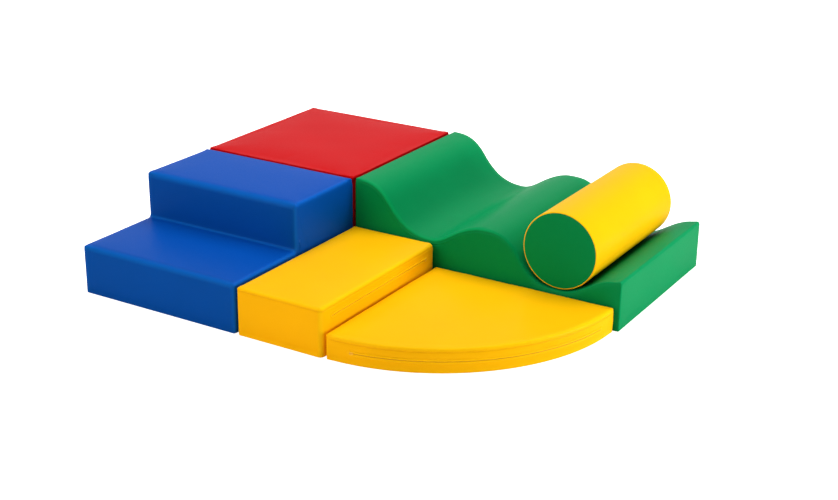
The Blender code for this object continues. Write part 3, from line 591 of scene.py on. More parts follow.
@dataclass
class SewnShell:
    """A closed body that follows an outline along a width, with rolled rims and a panel at each end.

    Attributes:
        name: the piece's name.
        outline: the section.
        laying: how the section lies in the frame.
        origin: the place of the section's origin.
        width: the size across the section.
        rim: the radius of the rolled rims.
        end_seam: how far inside the outline a seam runs round each end panel, or 0 for none.
        band_seams: the places along the width where a seam runs round the band.
        part: the length of one part of the band.
        rim_parts: the number of parts across each rolled rim.
        foot: the radius of the first end's rim where it is another one.
        recess: how deep the first end's panel lies inside, for a base cloth or a disc.
        recess_inset: how far inside the outline the recess begins.
        recess_wall: how far its wall leans.
        fullness: the share of the rims' radius at each point of the outline. It is low where modules meet.
        full_inset: how far inside the outline the fullness ends.
        plain_border: how far inside the rim an end panel's first rows lie where no seam runs.
        seam_border: how far inside an end seam the panel's first row lies.
        seam_spread: the rows beside a seam, in millimetres.
        seam_room: how near to a seam the band's own rows may come.
        seam_gap: how near to the rim's last row a seam's rows may come.
        row_gap: how near to the rims the band's rows may come.
        fold_reach: how far inside the outline a corner's bend still gets the painted highlight.
    """

    name: str
    outline: Outline
    laying: Laying
    origin: tuple[float, float, float]
    width: float
    rim: float = 8.0 * MM
    end_seam: float = 9.8 * MM
    band_seams: tuple[float, ...] = ()
    part: float = 11.0 * MM
    rim_parts: int = 6
    foot: float = 0.0
    recess: float = 0.0
    recess_inset: float = 24.6 * MM
    recess_wall: float = 0.4 * MM
    fullness: Array | None = None
    full_inset: float = 20.0 * MM
    plain_border: tuple[float, float] = (12.0 * MM, 5.0 * MM)
    seam_border: float = 7.5 * MM
    seam_spread: tuple[float, ...] = (-5.0, -3.0, -1.6, -0.8, 0.0, 0.8, 1.6, 3.0, 5.0)
    seam_room: float = 8.0 * MM
    seam_gap: float = 0.2 * MM
    row_gap: float = 0.3 * MM
    fold_reach: float = 6.0 * MM

    def end_rows(self, rim: float, sunk: bool) -> tuple[Array, Array]:
        """Works out the rows of one end panel's border and its rim.

        Args:
            rim: the rim's radius.
            sunk: whether the panel lies in a recess.

        Returns:
            The insets and the heights, from the inside out. A rim row at angle t has the inset
            r * (1 - sin t) and the height r * (1 - cos t).
        """
        angle = np.linspace(0, np.pi / 2, self.rim_parts + 1)
        inset, height = rim * (1 - np.sin(angle)), rim * (1 - np.cos(angle))
        border = rim + np.array(self.plain_border)
        if self.end_seam:
            spread = self.end_seam + MM * np.array(self.seam_spread[::-1])
            spread = spread[spread > rim + self.seam_gap]
            border = np.concatenate([[self.end_seam + self.seam_border], spread])
        if sunk:
            border = border[border < self.recess_inset]
            border = np.concatenate([[self.recess_inset + self.recess_wall, self.recess_inset], border])
        heights = np.concatenate([np.zeros(len(border)), height])
        heights[0] += self.recess * sunk
        return np.concatenate([border, inset]), heights

    def rows(self) -> Rows:
        """Works out all rows."""
        foot = self.foot or self.rim
        near_inset, near_height = self.end_rows(foot, bool(self.recess))
        far_inset, far_height = self.end_rows(self.rim, False)
        places = np.arange(self.rim, self.width - self.rim, self.part)[1:]
        for seam in self.band_seams:
            spread = seam + MM * np.array(self.seam_spread)
            places = places[np.abs(places - seam) > self.seam_room]
            places = np.concatenate([places, spread])
        inside = (places > foot + self.row_gap) & (places < self.width - self.rim - self.row_gap)
        places = np.sort(places[inside])
        insets = np.concatenate([near_inset, np.zeros(len(places)), far_inset[::-1]])
        heights = np.concatenate([near_height, places, self.width - far_height[::-1]])
        rim_middle = self.rim * (1 - math.sqrt(0.5))
        from_rim = np.hypot(insets - rim_middle, np.minimum(heights, self.width - heights) - rim_middle)
        edge = np.exp(-((from_rim / (0.8 * self.rim)) ** 2))
        seam = np.full(len(insets), FAR)
        if self.end_seam:
            at_end = np.minimum(heights, self.width - heights) < self.rim
            seam = np.where(at_end, np.abs(insets - self.end_seam) / MM, seam)
        for place in self.band_seams:
            distance = np.abs(heights - place) / MM
            on_band = (insets == 0) | (distance < 6)
            seam = np.where(on_band, np.minimum(distance, seam), seam)
        return Rows(insets, heights, edge, np.minimum(seam, FAR))

    def build(self, finish: bpy.types.Material) -> bpy.types.Object:
        """Makes the piece: the loop carried over all rows, and a blended grid in each end.

        Args:
            finish: the material.

        Returns:
            The new object, with the attributes edge, seam, sewn and run.
        """
        rows = self.rows()
        edge_line = self.outline.loop()
        count = len(edge_line)
        loops = np.stack([self.outline.loop(inset) for inset in rows.inset])
        fullness = np.ones(count) if self.fullness is None else self.fullness
        full = np.where(rows.inset[:, None] < self.full_inset, fullness, 1)
        loops = edge_line + (loops - edge_line) * full[..., None]
        height = np.repeat(rows.height[:, None], count, 1)
        height = np.where(height < self.rim, height * full, height)
        below_end = self.width - height
        height = np.where(below_end < self.rim, self.width - below_end * full, height)
        points = [np.concatenate([loops, height[..., None]], 2).reshape(-1, 3)]
        numbers = np.arange(len(rows.inset) * count).reshape(-1, count)
        faces = [tube_faces(*numbers.shape)]
        start = numbers.size
        for row, flip in ((0, True), (-1, False)):
            inner = panel(loops[row], self.outline.sides)[1:-1, 1:-1].reshape(-1, 2)
            points.append(np.column_stack([inner, np.full(len(inner), height[row].mean())]))
            faces.append(self.panel_faces(numbers[row], start, flip))
            start += len(inner)
        steps = np.linalg.norm(np.roll(edge_line, -1, 0) - edge_line, axis=1) / MM
        on_band = np.exp(-((rows.inset / self.fold_reach) ** 2))[:, None]
        # Where a rim is snug its seam lies hidden in the gap: there the seam is neither drawn in nor stitched,
        # and the cloth gets neither painted seam shade nor painted highlight.
        sewn = np.tile(np.clip((fullness - 0.6) / 0.4, 0, 1), (len(full), 1))
        values = {
            # Where the painted highlight and the extra gloss go: the rims and the corners' bends.
            "edge": np.maximum(rows.edge[:, None], on_band * self.outline.bends) * sewn,
            "seam": np.repeat(rows.seam, count),
            "sewn": sewn,
            "run": np.tile(np.concatenate([[0], np.cumsum(steps)[:-1]]), len(rows.inset)),
        }
        rest = start - numbers.size
        attributes = {
            name: np.append(value, np.full(rest, FAR if name == "seam" else 0.0))
            for name, value in values.items()
        }
        placed = np.concatenate(points) @ np.array(self.laying.value, float) + np.array(self.origin)
        return make_piece(self.name, placed, np.concatenate(faces), finish, attributes)

    def panel_faces(self, ring: Array, start: int, flip: bool) -> Array:
        """Numbers one end panel's quads: its border is the given ring and its inner points begin at start."""
        wide, high = self.outline.sides
        numbers = np.empty((high + 1, wide + 1), int)
        closed = np.append(ring, ring[0])
        numbers[0] = closed[: wide + 1]
        numbers[:, -1] = closed[wide : wide + high + 1]
        numbers[-1] = closed[wide + high : 2 * wide + high + 1][::-1]
        numbers[:, 0] = closed[2 * wide + high :][::-1]
        numbers[1:-1, 1:-1] = start + np.arange((high - 1) * (wide - 1)).reshape(high - 1, wide - 1)
        return grid_faces(numbers[:, ::-1] if flip else numbers)


def make_piece(
    name: str,
    points: Array,
    faces: Array,
    finish: bpy.types.Material,
    attributes: dict[str, Array] | None = None,
) -> bpy.types.Object:
    """Puts a surface into the scene as a smooth piece.

    Args:
        name: the piece's name.
        points: n by 3 places.
        faces: m by 4 point numbers.
        finish: the material.
        attributes: one value for each point under each name.

    Returns:
        The new object.
    """
    mesh = bpy.data.meshes.new(name)
    mesh.vertices.add(len(points))
    mesh.vertices.foreach_set("co", points.astype(np.float32).ravel())
    mesh.loops.add(faces.size)
    mesh.loops.foreach_set("vertex_index", faces.astype(np.int32).ravel())
    mesh.polygons.add(len(faces))
    mesh.polygons.foreach_set("loop_start", np.arange(0, faces.size, faces.shape[1], dtype=np.int32))
    mesh.update(calc_edges=True)
    mesh.validate()
    mesh.shade_smooth()
    for key, values in (attributes or {}).items():
        layer = mesh.attributes.new(key, "FLOAT", "POINT")
        layer.data.foreach_set("value", values.astype(np.float32))
    mesh.materials.append(finish)
    piece = bpy.data.objects.new(name, mesh)
    bpy.context.scene.collection.objects.link(piece)
    return piece


def read_points(mesh: bpy.types.Mesh) -> Array:
    """Returns a mesh's points as n by 3."""
    points = np.empty(len(mesh.vertices) * 3, np.float32)
    mesh.vertices.foreach_get("co", points)
    return points.reshape(-1, 3).astype(float)


def read_normals(mesh: bpy.types.Mesh) -> Array:
    """Returns a mesh's point normals as n by 3."""
    normals = np.empty(len(mesh.vertices) * 3, np.float32)
    mesh.vertex_normals.foreach_get("vector", normals)
    return normals.reshape(-1, 3).astype(float)


def read_values(mesh: bpy.types.Mesh, name: str) -> Array:
    """Returns a mesh's named point attribute."""
    values = np.empty(len(mesh.vertices), np.float32)
    mesh.attributes[name].data.foreach_get("value", values)
    return values.astype(float)


def write_points(mesh: bpy.types.Mesh, points: Array) -> None:
    """Moves a mesh's points to new places."""
    mesh.vertices.foreach_set("co", points.astype(np.float32).ravel())
    mesh.update()


# Filling and sewing


@dataclass(frozen=True)
class Filling:
    """How a cover swells over its foam.

    Attributes:
        room: how far each side may stand out, in millimetres.
        draw: how far the cloth may be drawn in, in millimetres.
        pressure: the simulation's inner pressure.
        frames: the simulation's length.
        fullest: the share of the points that swell less than the fullest places.
    """

    room: dict[Side, float]
    draw: float = 0.8
    pressure: float = 4.0
    frames: int = 20
    fullest: float = 0.97

    def swell(self, piece: bpy.types.Object) -> Array:
        """Runs the cloth simulation on a copy and returns how far each point moved, as n by 3."""
        scene = bpy.context.scene
        stand_in = piece.copy()
        stand_in.data = piece.data.copy()
        scene.collection.objects.link(stand_in)
        cloth = stand_in.modifiers.new("fill", "CLOTH")
        cloth.settings.quality = 4
        cloth.settings.use_pressure = True
        cloth.settings.uniform_pressure_force = self.pressure
        cloth.settings.effector_weights.gravity = 0
        cloth.point_cache.frame_start = 1
        cloth.point_cache.frame_end = self.frames
        for number in range(1, self.frames + 1):
            scene.frame_set(number)
        filled = stand_in.evaluated_get(bpy.context.evaluated_depsgraph_get())
        moved = read_points(filled.data) - read_points(piece.data)
        bpy.data.objects.remove(stand_in)
        scene.frame_set(1)
        return moved - moved.mean(0)

    def apply(self, piece: bpy.types.Object, held: Array) -> None:
        """Swells a piece along its normals, up to the room on each side.

        A point moves by room * sin(pi / 2 * d / peak), where d is how far the simulation moved it along its
        normal, peak is how far it moved the fullest places, and room is the mean of the rooms of the sides
        that it faces. Where the simulation drew the cloth in, it moves by draw * tanh(d / draw).

        Args:
            piece: the cover.
            held: 1 for points that are sewn or glued in place, 0 for free ones.
        """
        points, normals = read_points(piece.data), read_normals(piece.data)
        swollen = (self.swell(piece) * normals).sum(1)
        facing = np.maximum(normals @ np.array([side.value for side in Side], float).T, 0) ** 2
        room = facing @ np.array([self.room.get(side, 0.0) for side in Side]) * MM
        under = facing[:, list(Side).index(Side.UNDER)]
        peak = max(float(np.quantile(swollen, self.fullest)), 1e-6)
        out = room * np.sin(np.pi / 2 * np.clip(swollen / peak, 0, 1))
        draw = self.draw * MM
        inwards = draw * np.tanh(np.minimum(swollen, 0) / draw)
        shift = (out + inwards) * (1 - held) * (1 - under)
        write_points(piece.data, points + normals * shift[:, None])


@dataclass(frozen=True)
class Sewing:
    """How the thread draws the cloth in along a cover's seams.

    The cloth dips by depth * exp(-(d / 1.3)^2) in a seam and stands out by lift * exp(-((d - 5) / 3)^2)
    beside it, where d is the distance in millimetres, and a sum of four waves along the seam puckers it.
    """

    depth: float = 0.6
    lift: float = 0.3
    pucker: float = 0.4
    waves: tuple[float, ...] = (13.0, 21.0, 34.0, 57.0)

    def apply(self, piece: bpy.types.Object, seed: int) -> None:
        """Draws a piece's seams in.

        Args:
            piece: the cover, with the attributes seam, sewn and run.
            seed: sets where along the seam the puckers lie.
        """
        mesh = piece.data
        points, normals = read_points(mesh), read_normals(mesh)
        away, run = read_values(mesh, "seam"), read_values(mesh, "run")
        phases = np.random.default_rng(seed).uniform(0, 2 * np.pi, len(self.waves))
        ripple = sum(np.sin(2 * np.pi * run / wave + phase) for wave, phase in zip(self.waves, phases))
        dip = -self.depth * np.exp(-((away / 1.3) ** 2))
        stand = self.lift * np.exp(-(((away - 5) / 3) ** 2))
        shift = dip + stand + self.pucker * ripple / 2 * np.exp(-away / 7) * (away < FAR - 1)
        flat = (1 - np.clip(-normals[:, 2], 0, 1)) * read_values(mesh, "sewn")
        write_points(mesh, points + normals * (shift * flat * MM)[:, None])


def undulate(piece: bpy.types.Object, height: float, seed: int) -> None:
    """Gives a cover's large faces the slight unevenness of cut foam: the mean of five slow waves.

    Args:
        piece: the cover.
        height: the size of the waves in millimetres.
        seed: sets the waves' directions and phases.
    """
    mesh = piece.data
    points, normals = read_points(mesh), read_normals(mesh)
    random = np.random.default_rng(seed)
    directions = random.normal(size=(5, 3))
    directions /= np.linalg.norm(directions, axis=1, keepdims=True)
    lengths = random.uniform(0.14, 0.34, 5)
    waves = np.sin(2 * np.pi * (points @ directions.T) / lengths + random.uniform(0, 2 * np.pi, 5)).mean(1)
    free = 1 - np.clip(-normals[:, 2], 0, 1)
    write_points(mesh, points + normals * (height * MM * waves * free)[:, None])


# Zips


@dataclass
class Zip:
    """A hidden coil zip: two lips of the cover's cloth nearly meet over the coil, and a slider rides them.

    Attributes:
        name: the module's name, which the zip's pieces begin with.
        path: n by 3 points along the slot's middle line, on the cover's face.
        outward: n by 3 outward normals of that face.
        cloth: the finish of the lip.
        nylon: the finish of the tape and the coil.
        metal: the finish of the slider.
        colour: the name of the cover's colour. It is not used.
        lip_half: half the width of a lip.
        lip_height: how far a lip stands out.
        half_slot: half the gap between the lips.
        coil_half: half the coil's width.
        coil_height: how far the coil stands out.
        tape_sunk: how far inside the cover the tape's edges lie.
        pitch: the length of one turn of the coil.
        slider_size: the slider's length and width.
        slider_corner: the rounding of its corners.
        hole: the radius of its key hole.
    """

    name: str
    path: Array
    outward: Array
    cloth: bpy.types.Material
    nylon: bpy.types.Material
    metal: bpy.types.Material
    colour: str
    lip_half: float = 3.2 * MM
    lip_height: float = 1.4 * MM
    half_slot: float = 0.5 * MM
    coil_half: float = 1.6 * MM
    coil_height: float = 0.45 * MM
    tape_sunk: float = 0.6 * MM
    # Real coils have about 1.5 mm between turns. They are drawn 3 mm apart so that they show.
    pitch: float = 3.0 * MM
    slider_size: tuple[float, float] = (12.0 * MM, 8.0 * MM)
    slider_corner: float = 2.5 * MM
    hole: float = 1.3 * MM

    @cached_property
    def forward(self) -> Array:
        """Unit directions along the path, as n by 3."""
        steps = np.gradient(self.path, axis=0)
        return steps / np.linalg.norm(steps, axis=1, keepdims=True)

    @cached_property
    def across(self) -> Array:
        """Unit directions across the path on the face, as n by 3."""
        return np.cross(self.outward, self.forward)

    def spot(self, along: Array, aside: Array, out: Array) -> Array:
        """Places points beside the path.

        Args:
            along: distances from the path's start.
            aside: distances across it.
            out: distances off the face.

        Returns:
            The path's point at each distance, plus aside and out times its two normals.
        """
        reach = np.concatenate([[0], np.cumsum(np.linalg.norm(np.diff(self.path, axis=0), axis=1))])
        bases = [
            np.stack([np.interp(along, reach, rows[:, axis]) for axis in range(3)], -1)
            for rows in (self.path, self.across, self.outward)
        ]
        before = np.minimum(along, 0)[..., None] * self.forward[0]
        beyond = np.maximum(along - reach[-1], 0)[..., None] * self.forward[-1]
        return bases[0] + before + beyond + aside[..., None] * bases[1] + out[..., None] * bases[2]

    @cached_property
    def length(self) -> float:
        """The path's length."""
        return float(np.linalg.norm(np.diff(self.path, axis=0), axis=1).sum())

    def lip(self) -> bpy.types.Object:
        """Makes the lips: a flat round section carried down one side of the slot and back up the other."""
        straight = np.linspace(0, self.length, max(int(self.length / (7 * MM)), 8))
        bend = np.linspace(-np.pi / 2, np.pi / 2, 7)[1:-1]
        wide = self.half_slot + self.lip_half
        side = np.full(len(straight), wide)
        swing, turn = wide * np.cos(bend), wide * np.sin(bend)
        along = np.concatenate([straight, self.length + swing, straight[::-1], -swing])
        aside = np.concatenate([-side, turn, side, -turn])
        spoke = np.stack([along - np.clip(along, 0, self.length), aside], 1)
        spoke /= np.linalg.norm(spoke, axis=1, keepdims=True)
        angle = np.linspace(0, 2 * np.pi, 11)[:-1]
        out = self.lip_half * np.cos(angle)
        rise = np.tile(self.lip_height * np.sin(angle), (len(along), 1))
        grid = self.spot(along[:, None] + spoke[:, :1] * out, aside[:, None] + spoke[:, 1:] * out, rise)
        far = np.full(rise.size, FAR)
        return make_piece(
            f"{self.name}_zip_lip",
            grid.reshape(-1, 3),
            tube_faces(*rise.shape, closed=True),
            self.cloth,
            # The whole lip gets part of the painted highlight and of the extra gloss.
            {"edge": np.full(rise.size, 0.6), "seam": far, "run": far},
        )

    def teeth(self) -> bpy.types.Object:
        """Makes the tape with the coil on it, which is h * (0.62 + 0.38 * |cos(pi * s / pitch)|) high."""
        steps = max(int(self.length / self.pitch * 4), 16)
        along = np.linspace(-2 * MM, self.length + 2 * MM, steps)
        tape, half = self.half_slot + 1.5 * self.lip_half, self.coil_half
        aside = np.array([-tape, -half - 0.3 * MM, -half, -0.6 * half, -0.15 * MM, 0.0])
        rise = np.array([0.3, 0.3, 0.5, 1.0, 0.9, 0.6]) * self.coil_height
        aside = np.concatenate([aside, -aside[-2::-1]])
        rise = np.concatenate([rise, rise[-2::-1]])
        beat = 0.62 + 0.38 * np.abs(np.cos(np.pi * along / self.pitch))
        out = np.where(np.abs(aside) <= half, rise * beat[:, None], rise)
        out = np.pad(out, ((0, 0), (1, 1)), constant_values=-self.tape_sunk)
        aside = np.pad(aside, 1, mode="edge")
        grid = self.spot(np.tile(along[:, None], len(aside)), np.tile(aside, (steps, 1)), out)
        faces = [tube_faces(*out.shape)[:, ::-1]]
        numbers = np.arange(out.size).reshape(out.shape)
        middle = (len(aside) + 1) // 2
        for row, turn in ((numbers[0], 1), (numbers[-1], -1)):
            strip = np.stack([row[:middle], row[::-1][:middle]])[::turn]
            # The last quad would have its middle point twice.
            faces.append(grid_faces(strip)[:-1])
        return make_piece(f"{self.name}_zip_coil", grid.reshape(-1, 3), np.concatenate(faces), self.nylon)

    def slider(self, place: float) -> bpy.types.Object:
        """Makes the slider: a plate with a key hole, whose rows run from its foot over its top into the hole.

        Args:
            place: the distance of its middle from the path's start.

        Returns:
            The new piece.
        """
        plate = rectangle(*self.slider_size, (self.slider_corner,) * 4, 1.0 * MM)
        outer = plate.loop() - np.array(self.slider_size) / 2
        angle = np.arctan2(outer[:, 1], outer[:, 0])
        inner = self.hole * np.stack([np.cos(angle), np.sin(angle)], 1)
        # For each row, the share of the way from the hole to the plate's edge, and the height in millimetres.
        shares = np.array([1.0, 1.0, 0.965, 0.89, 0.6, 0.0, 0.0])[:, None, None]
        heights = np.array([0.2, 1.7, 2.1, 2.3, 2.45, 2.3, 0.2]) * MM
        rows = outer[None] * shares + inner[None] * (1 - shares)
        grid = self.spot(place + rows[..., 0], rows[..., 1], np.tile(heights[:, None], len(outer)))
        faces = tube_faces(len(heights), len(outer), closed=True)
        return make_piece(f"{self.name}_zip_slider_body", grid.reshape(-1, 3), faces, self.metal)

    def build(self, body: str, runner: str, place: float) -> None:
        """Makes all pieces and sets them on their bodies.

        Args:
            body: the body that carries the zip.
            runner: the body of the slider.
            place: the distance of the closed slider's middle from the path's start.
        """
        made = (
            (self.lip(), body, "cover", ()),
            (self.teeth(), body, "zip_tape", (f"{self.name}_zip_tape",)),
            (self.slider(place), runner, "zip_slider", (f"{self.name}_zip_slider",)),
        )
        for piece, carrier, slot, nodes in made:
            face_out(piece)
            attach(piece, carrier)
            if nodes:
                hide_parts(*nodes)
            LOG.info("%s: %d points", piece.name, len(piece.data.vertices))


def face_out(piece: bpy.types.Object) -> None:
    """Turns a closed piece's faces outwards: its volume, the sum of a . (b x c) / 6, is positive then."""
    mesh = piece.data
    mesh.calc_loop_triangles()
    corners = np.empty(len(mesh.loop_triangles) * 3, np.int32)
    mesh.loop_triangles.foreach_get("vertices", corners)
    a, b, c = read_points(mesh)[corners.reshape(-1, 3).T]
    if (a * np.cross(b, c)).sum() < 0:
        mesh.flip_normals()


# Modules


@dataclass
class Module:
    """What the floor modules share.

    Attributes:
        name: the module's name, which is also its body's.
        finishes: the set's finishes.
        cloth: the name of the cover's finish.
        foams: the foam nodes that the cover stands for.
        seed: sets where the puckers and the slow waves lie.
        rooms: how far each side may swell, in millimetres. The others stay flat.
        crown: how far the node's box rises over the edges of its top.
        part: the length of one part of the cover's sides.
        foot: the radius of the lowest edges.
        recess: how deep the base cloth lies inside the underside.
        base_inset: how far inside the plan's edges that begins.
        unevenness: the size of the slow waves on the faces, in millimetres.
        zip_side: the side that the zip is in.
        zip_margin: how far from the side's ends the zip ends.
        zip_rise: the zip's height over the floor.
        zip_points: the number of points along the zip.
        zip_hold: how far from the zip the cloth can't swell.
        slider_stand: how far from the zip's end the closed slider stands.
        eased: the sides where neighbours stand.
        ease: how far those sides are pulled in, which leaves the photograph's dark gaps.
        draw: how much farther those sides go in at their edges.
        bulge: how far they stand out again where the corners of four modules meet.
        lean_reach: how far from the edges and from the meeting corners both fall off.
        lean_depth: how far behind the side both fade out.
        sharp: the radius of corners that a panel is cut to.
    """

    name: str
    finishes: Finishes
    cloth: str
    foams: tuple[str, ...]
    seed: int
    rooms: Rooms = ()
    crown: float = 4.0 * MM
    part: float = 11.0 * MM
    foot: float = 4.0 * MM
    recess: float = 1.7 * MM
    base_inset: float = 13.0 * MM
    unevenness: float = 0.5
    zip_side: Side = Side.BACK
    zip_margin: float = 50.0 * MM
    zip_rise: float = 34.0 * MM
    zip_points: int = 60
    zip_hold: float = 22.0 * MM
    slider_stand: float = 6.3 * MM
    eased: tuple[Side, ...] = ()
    ease: float = 0.9 * MM
    draw: float = 3.0 * MM
    bulge: float = 0.0
    lean_reach: float = 9.0 * MM
    lean_depth: float = 30.0 * MM
    sharp: float = 5.0 * MM

    @cached_property
    def low(self) -> Array:
        """The lowest corner of the cover's node, less the ease."""
        inward = sum(np.maximum(-np.array(side.value, float), 0) for side in self.eased)
        return np.array(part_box(f"{self.name}_cover")[0]) + self.ease * inward

    @cached_property
    def high(self) -> Array:
        """The highest corner of the cover's node, less the ease."""
        inward = sum(np.maximum(np.array(side.value, float), 0) for side in self.eased)
        return np.array(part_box(f"{self.name}_cover")[1]) - self.ease * inward

    @cached_property
    def size(self) -> Array:
        """The node's size, with the height taken at the edges of its crowned top."""
        return self.high - self.low - (0, 0, self.crown)

    def shell(self) -> SewnShell:
        """Describes the cover's surface."""
        raise NotImplementedError

    def zip(self) -> Zip:
        """Describes a straight zip, which closes to the right for who looks at its side."""
        out = np.array(self.zip_side.value, float)
        along = np.cross((0, 0, 1), out)
        half = (self.high - self.low) / 2
        middle = self.low + half + half * out
        middle[2] = self.zip_rise
        reach = half @ np.abs(along) - self.zip_margin
        path = middle + np.linspace(-reach, reach, self.zip_points)[:, None] * along
        return self.new_zip(path, np.tile(out, (self.zip_points, 1)))

    def new_zip(self, path: Array, outward: Array) -> Zip:
        """Describes a zip in the module's finishes along a path."""
        finishes = (self.finishes.get(self.cloth + kind) for kind in ("", "_zip", "_slider"))
        return Zip(self.name, path, outward, *finishes, self.cloth)

    def held(self, piece: bpy.types.Object) -> Array:
        """Returns 1 for points that are sewn to the zip, falling off as exp(-(distance / zip_hold)^2)."""
        points = read_points(piece.data)
        zipper = self.zip()
        start, way = zipper.path[0], zipper.path[-1] - zipper.path[0]
        along = np.clip(((points - start) @ way) / (way @ way), 0, 1)
        away = np.linalg.norm(points - start - along[:, None] * way, axis=1)
        return np.exp(-((away / self.zip_hold) ** 2))

    def lift_underside(self, piece: bpy.types.Object) -> None:
        """Raises the underside over the base cloth."""
        points = read_points(piece.data)
        inside = np.minimum(points[:, :2] - self.low[:2], self.high[:2] - points[:, :2]).min(1)
        under = (points[:, 2] < 0.5 * MM) & (inside > self.base_inset)
        points[under, 2] = self.recess
        write_points(piece.data, points)

    def inside(self, points: Array) -> Array:
        """Returns how far points lie below the edges of the top."""
        return self.size[2] - points[:, 2]

    def lean(self, piece: bpy.types.Object) -> None:
        """Draws the eased sides in towards their upper and front edges, where the cloth bends over.

        A side goes in by draw * exp(-(d / lean_reach)^2), where d is the distance from the nearest of those
        edges, and out by bulge * exp(-(m / lean_reach)^2), where m is the distance from the place where the
        gaps between the modules cross. Both fade over lean_depth behind the side.
        """
        points = read_points(piece.data)
        meeting = np.array(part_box("stair_cover")[1])[:2] + HALF_GAP
        away = np.linalg.norm(points[:, :2] - meeting, axis=1)
        bulge = self.bulge * np.exp(-((away / self.lean_reach) ** 2))
        top, front = self.inside(points), points[:, 1] - self.low[1]
        for side in self.eased:
            out = np.array(side.value, float)
            across = 0 if out[0] else 1
            below = np.maximum(top if across else np.minimum(top, front), 0)
            plane = self.high[across] if out.sum() > 0 else self.low[across]
            behind = np.abs(plane - points[:, across])
            pull = self.draw * np.exp(-((below / self.lean_reach) ** 2)) - bulge
            points[:, across] -= out[across] * pull * np.clip(1 - behind / self.lean_depth, 0, 1)
        write_points(piece.data, points)

    def point_corners(self, piece: bpy.types.Object) -> None:
        """Sharpens corners that a panel cuts sharp and that bend widely beside it. Most modules have none."""

    def press(self, piece: bpy.types.Object) -> None:
        """Presses the cover in where something rests on it. Nothing does on most modules."""

    def build(self) -> None:
        """Makes the cover and the zip and dresses the nodes that stay."""
        shell = self.shell()
        piece = shell.build(self.finishes.get(self.cloth))
        Filling(dict(self.rooms)).apply(piece, self.held(piece))
        undulate(piece, self.unevenness, self.seed)
        Sewing().apply(piece, self.seed)
        self.press(piece)
        self.lean(piece)
        self.point_corners(piece)
        if not shell.recess:
            self.lift_underside(piece)
        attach(piece, self.name)
        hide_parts(f"{self.name}_cover", *self.foams)
        LOG.info("%s: %d faces", piece.name, len(piece.data.polygons))
        zipper = self.zip()
        zipper.build(self.name, f"{self.name}_zip_runner", zipper.length - self.slider_stand)
        dress(f"{self.name}_base_panel", self.finishes.get("base"))


def sharpen(points: Array, centre: Array, radius: float, sharp: float, share: Array) -> Array:
    """Moves points out from a round corner towards a sharper one.

    A round corner of radius r lies inside a square one. In a direction from its centre whose larger part is
    m, the square's edge is r / m away, which is (1 / m - 1) * r farther. A point on the round corner goes out
    by (1 / m - 1) * (r - sharp).

    Args:
        points: the points in the corner's plane, measured so that the corner lies up and to the right.
        centre: the centre of the round corner.
        radius: its radius.
        sharp: the radius of the sharper corner.
        share: how far each point goes, from 0 to 1.

    Returns:
        The moved points.
    """
    spoke = points - centre
    away = np.maximum(np.linalg.norm(spoke, axis=1), 1e-9)
    part = np.max(spoke, axis=1) / away
    reach = 1 / np.maximum(part, 0.7) - 1
    more = np.where(spoke.min(1) > 0, reach * (radius - sharp) / radius, 0.0)
    return points + spoke * (more * share)[:, None]


def dress(node: str, finish: bpy.types.Material) -> None:
    """Gives a CAD node that stays its finish."""
    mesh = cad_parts[node].data
    mesh.materials.clear()
    mesh.materials.append(finish)


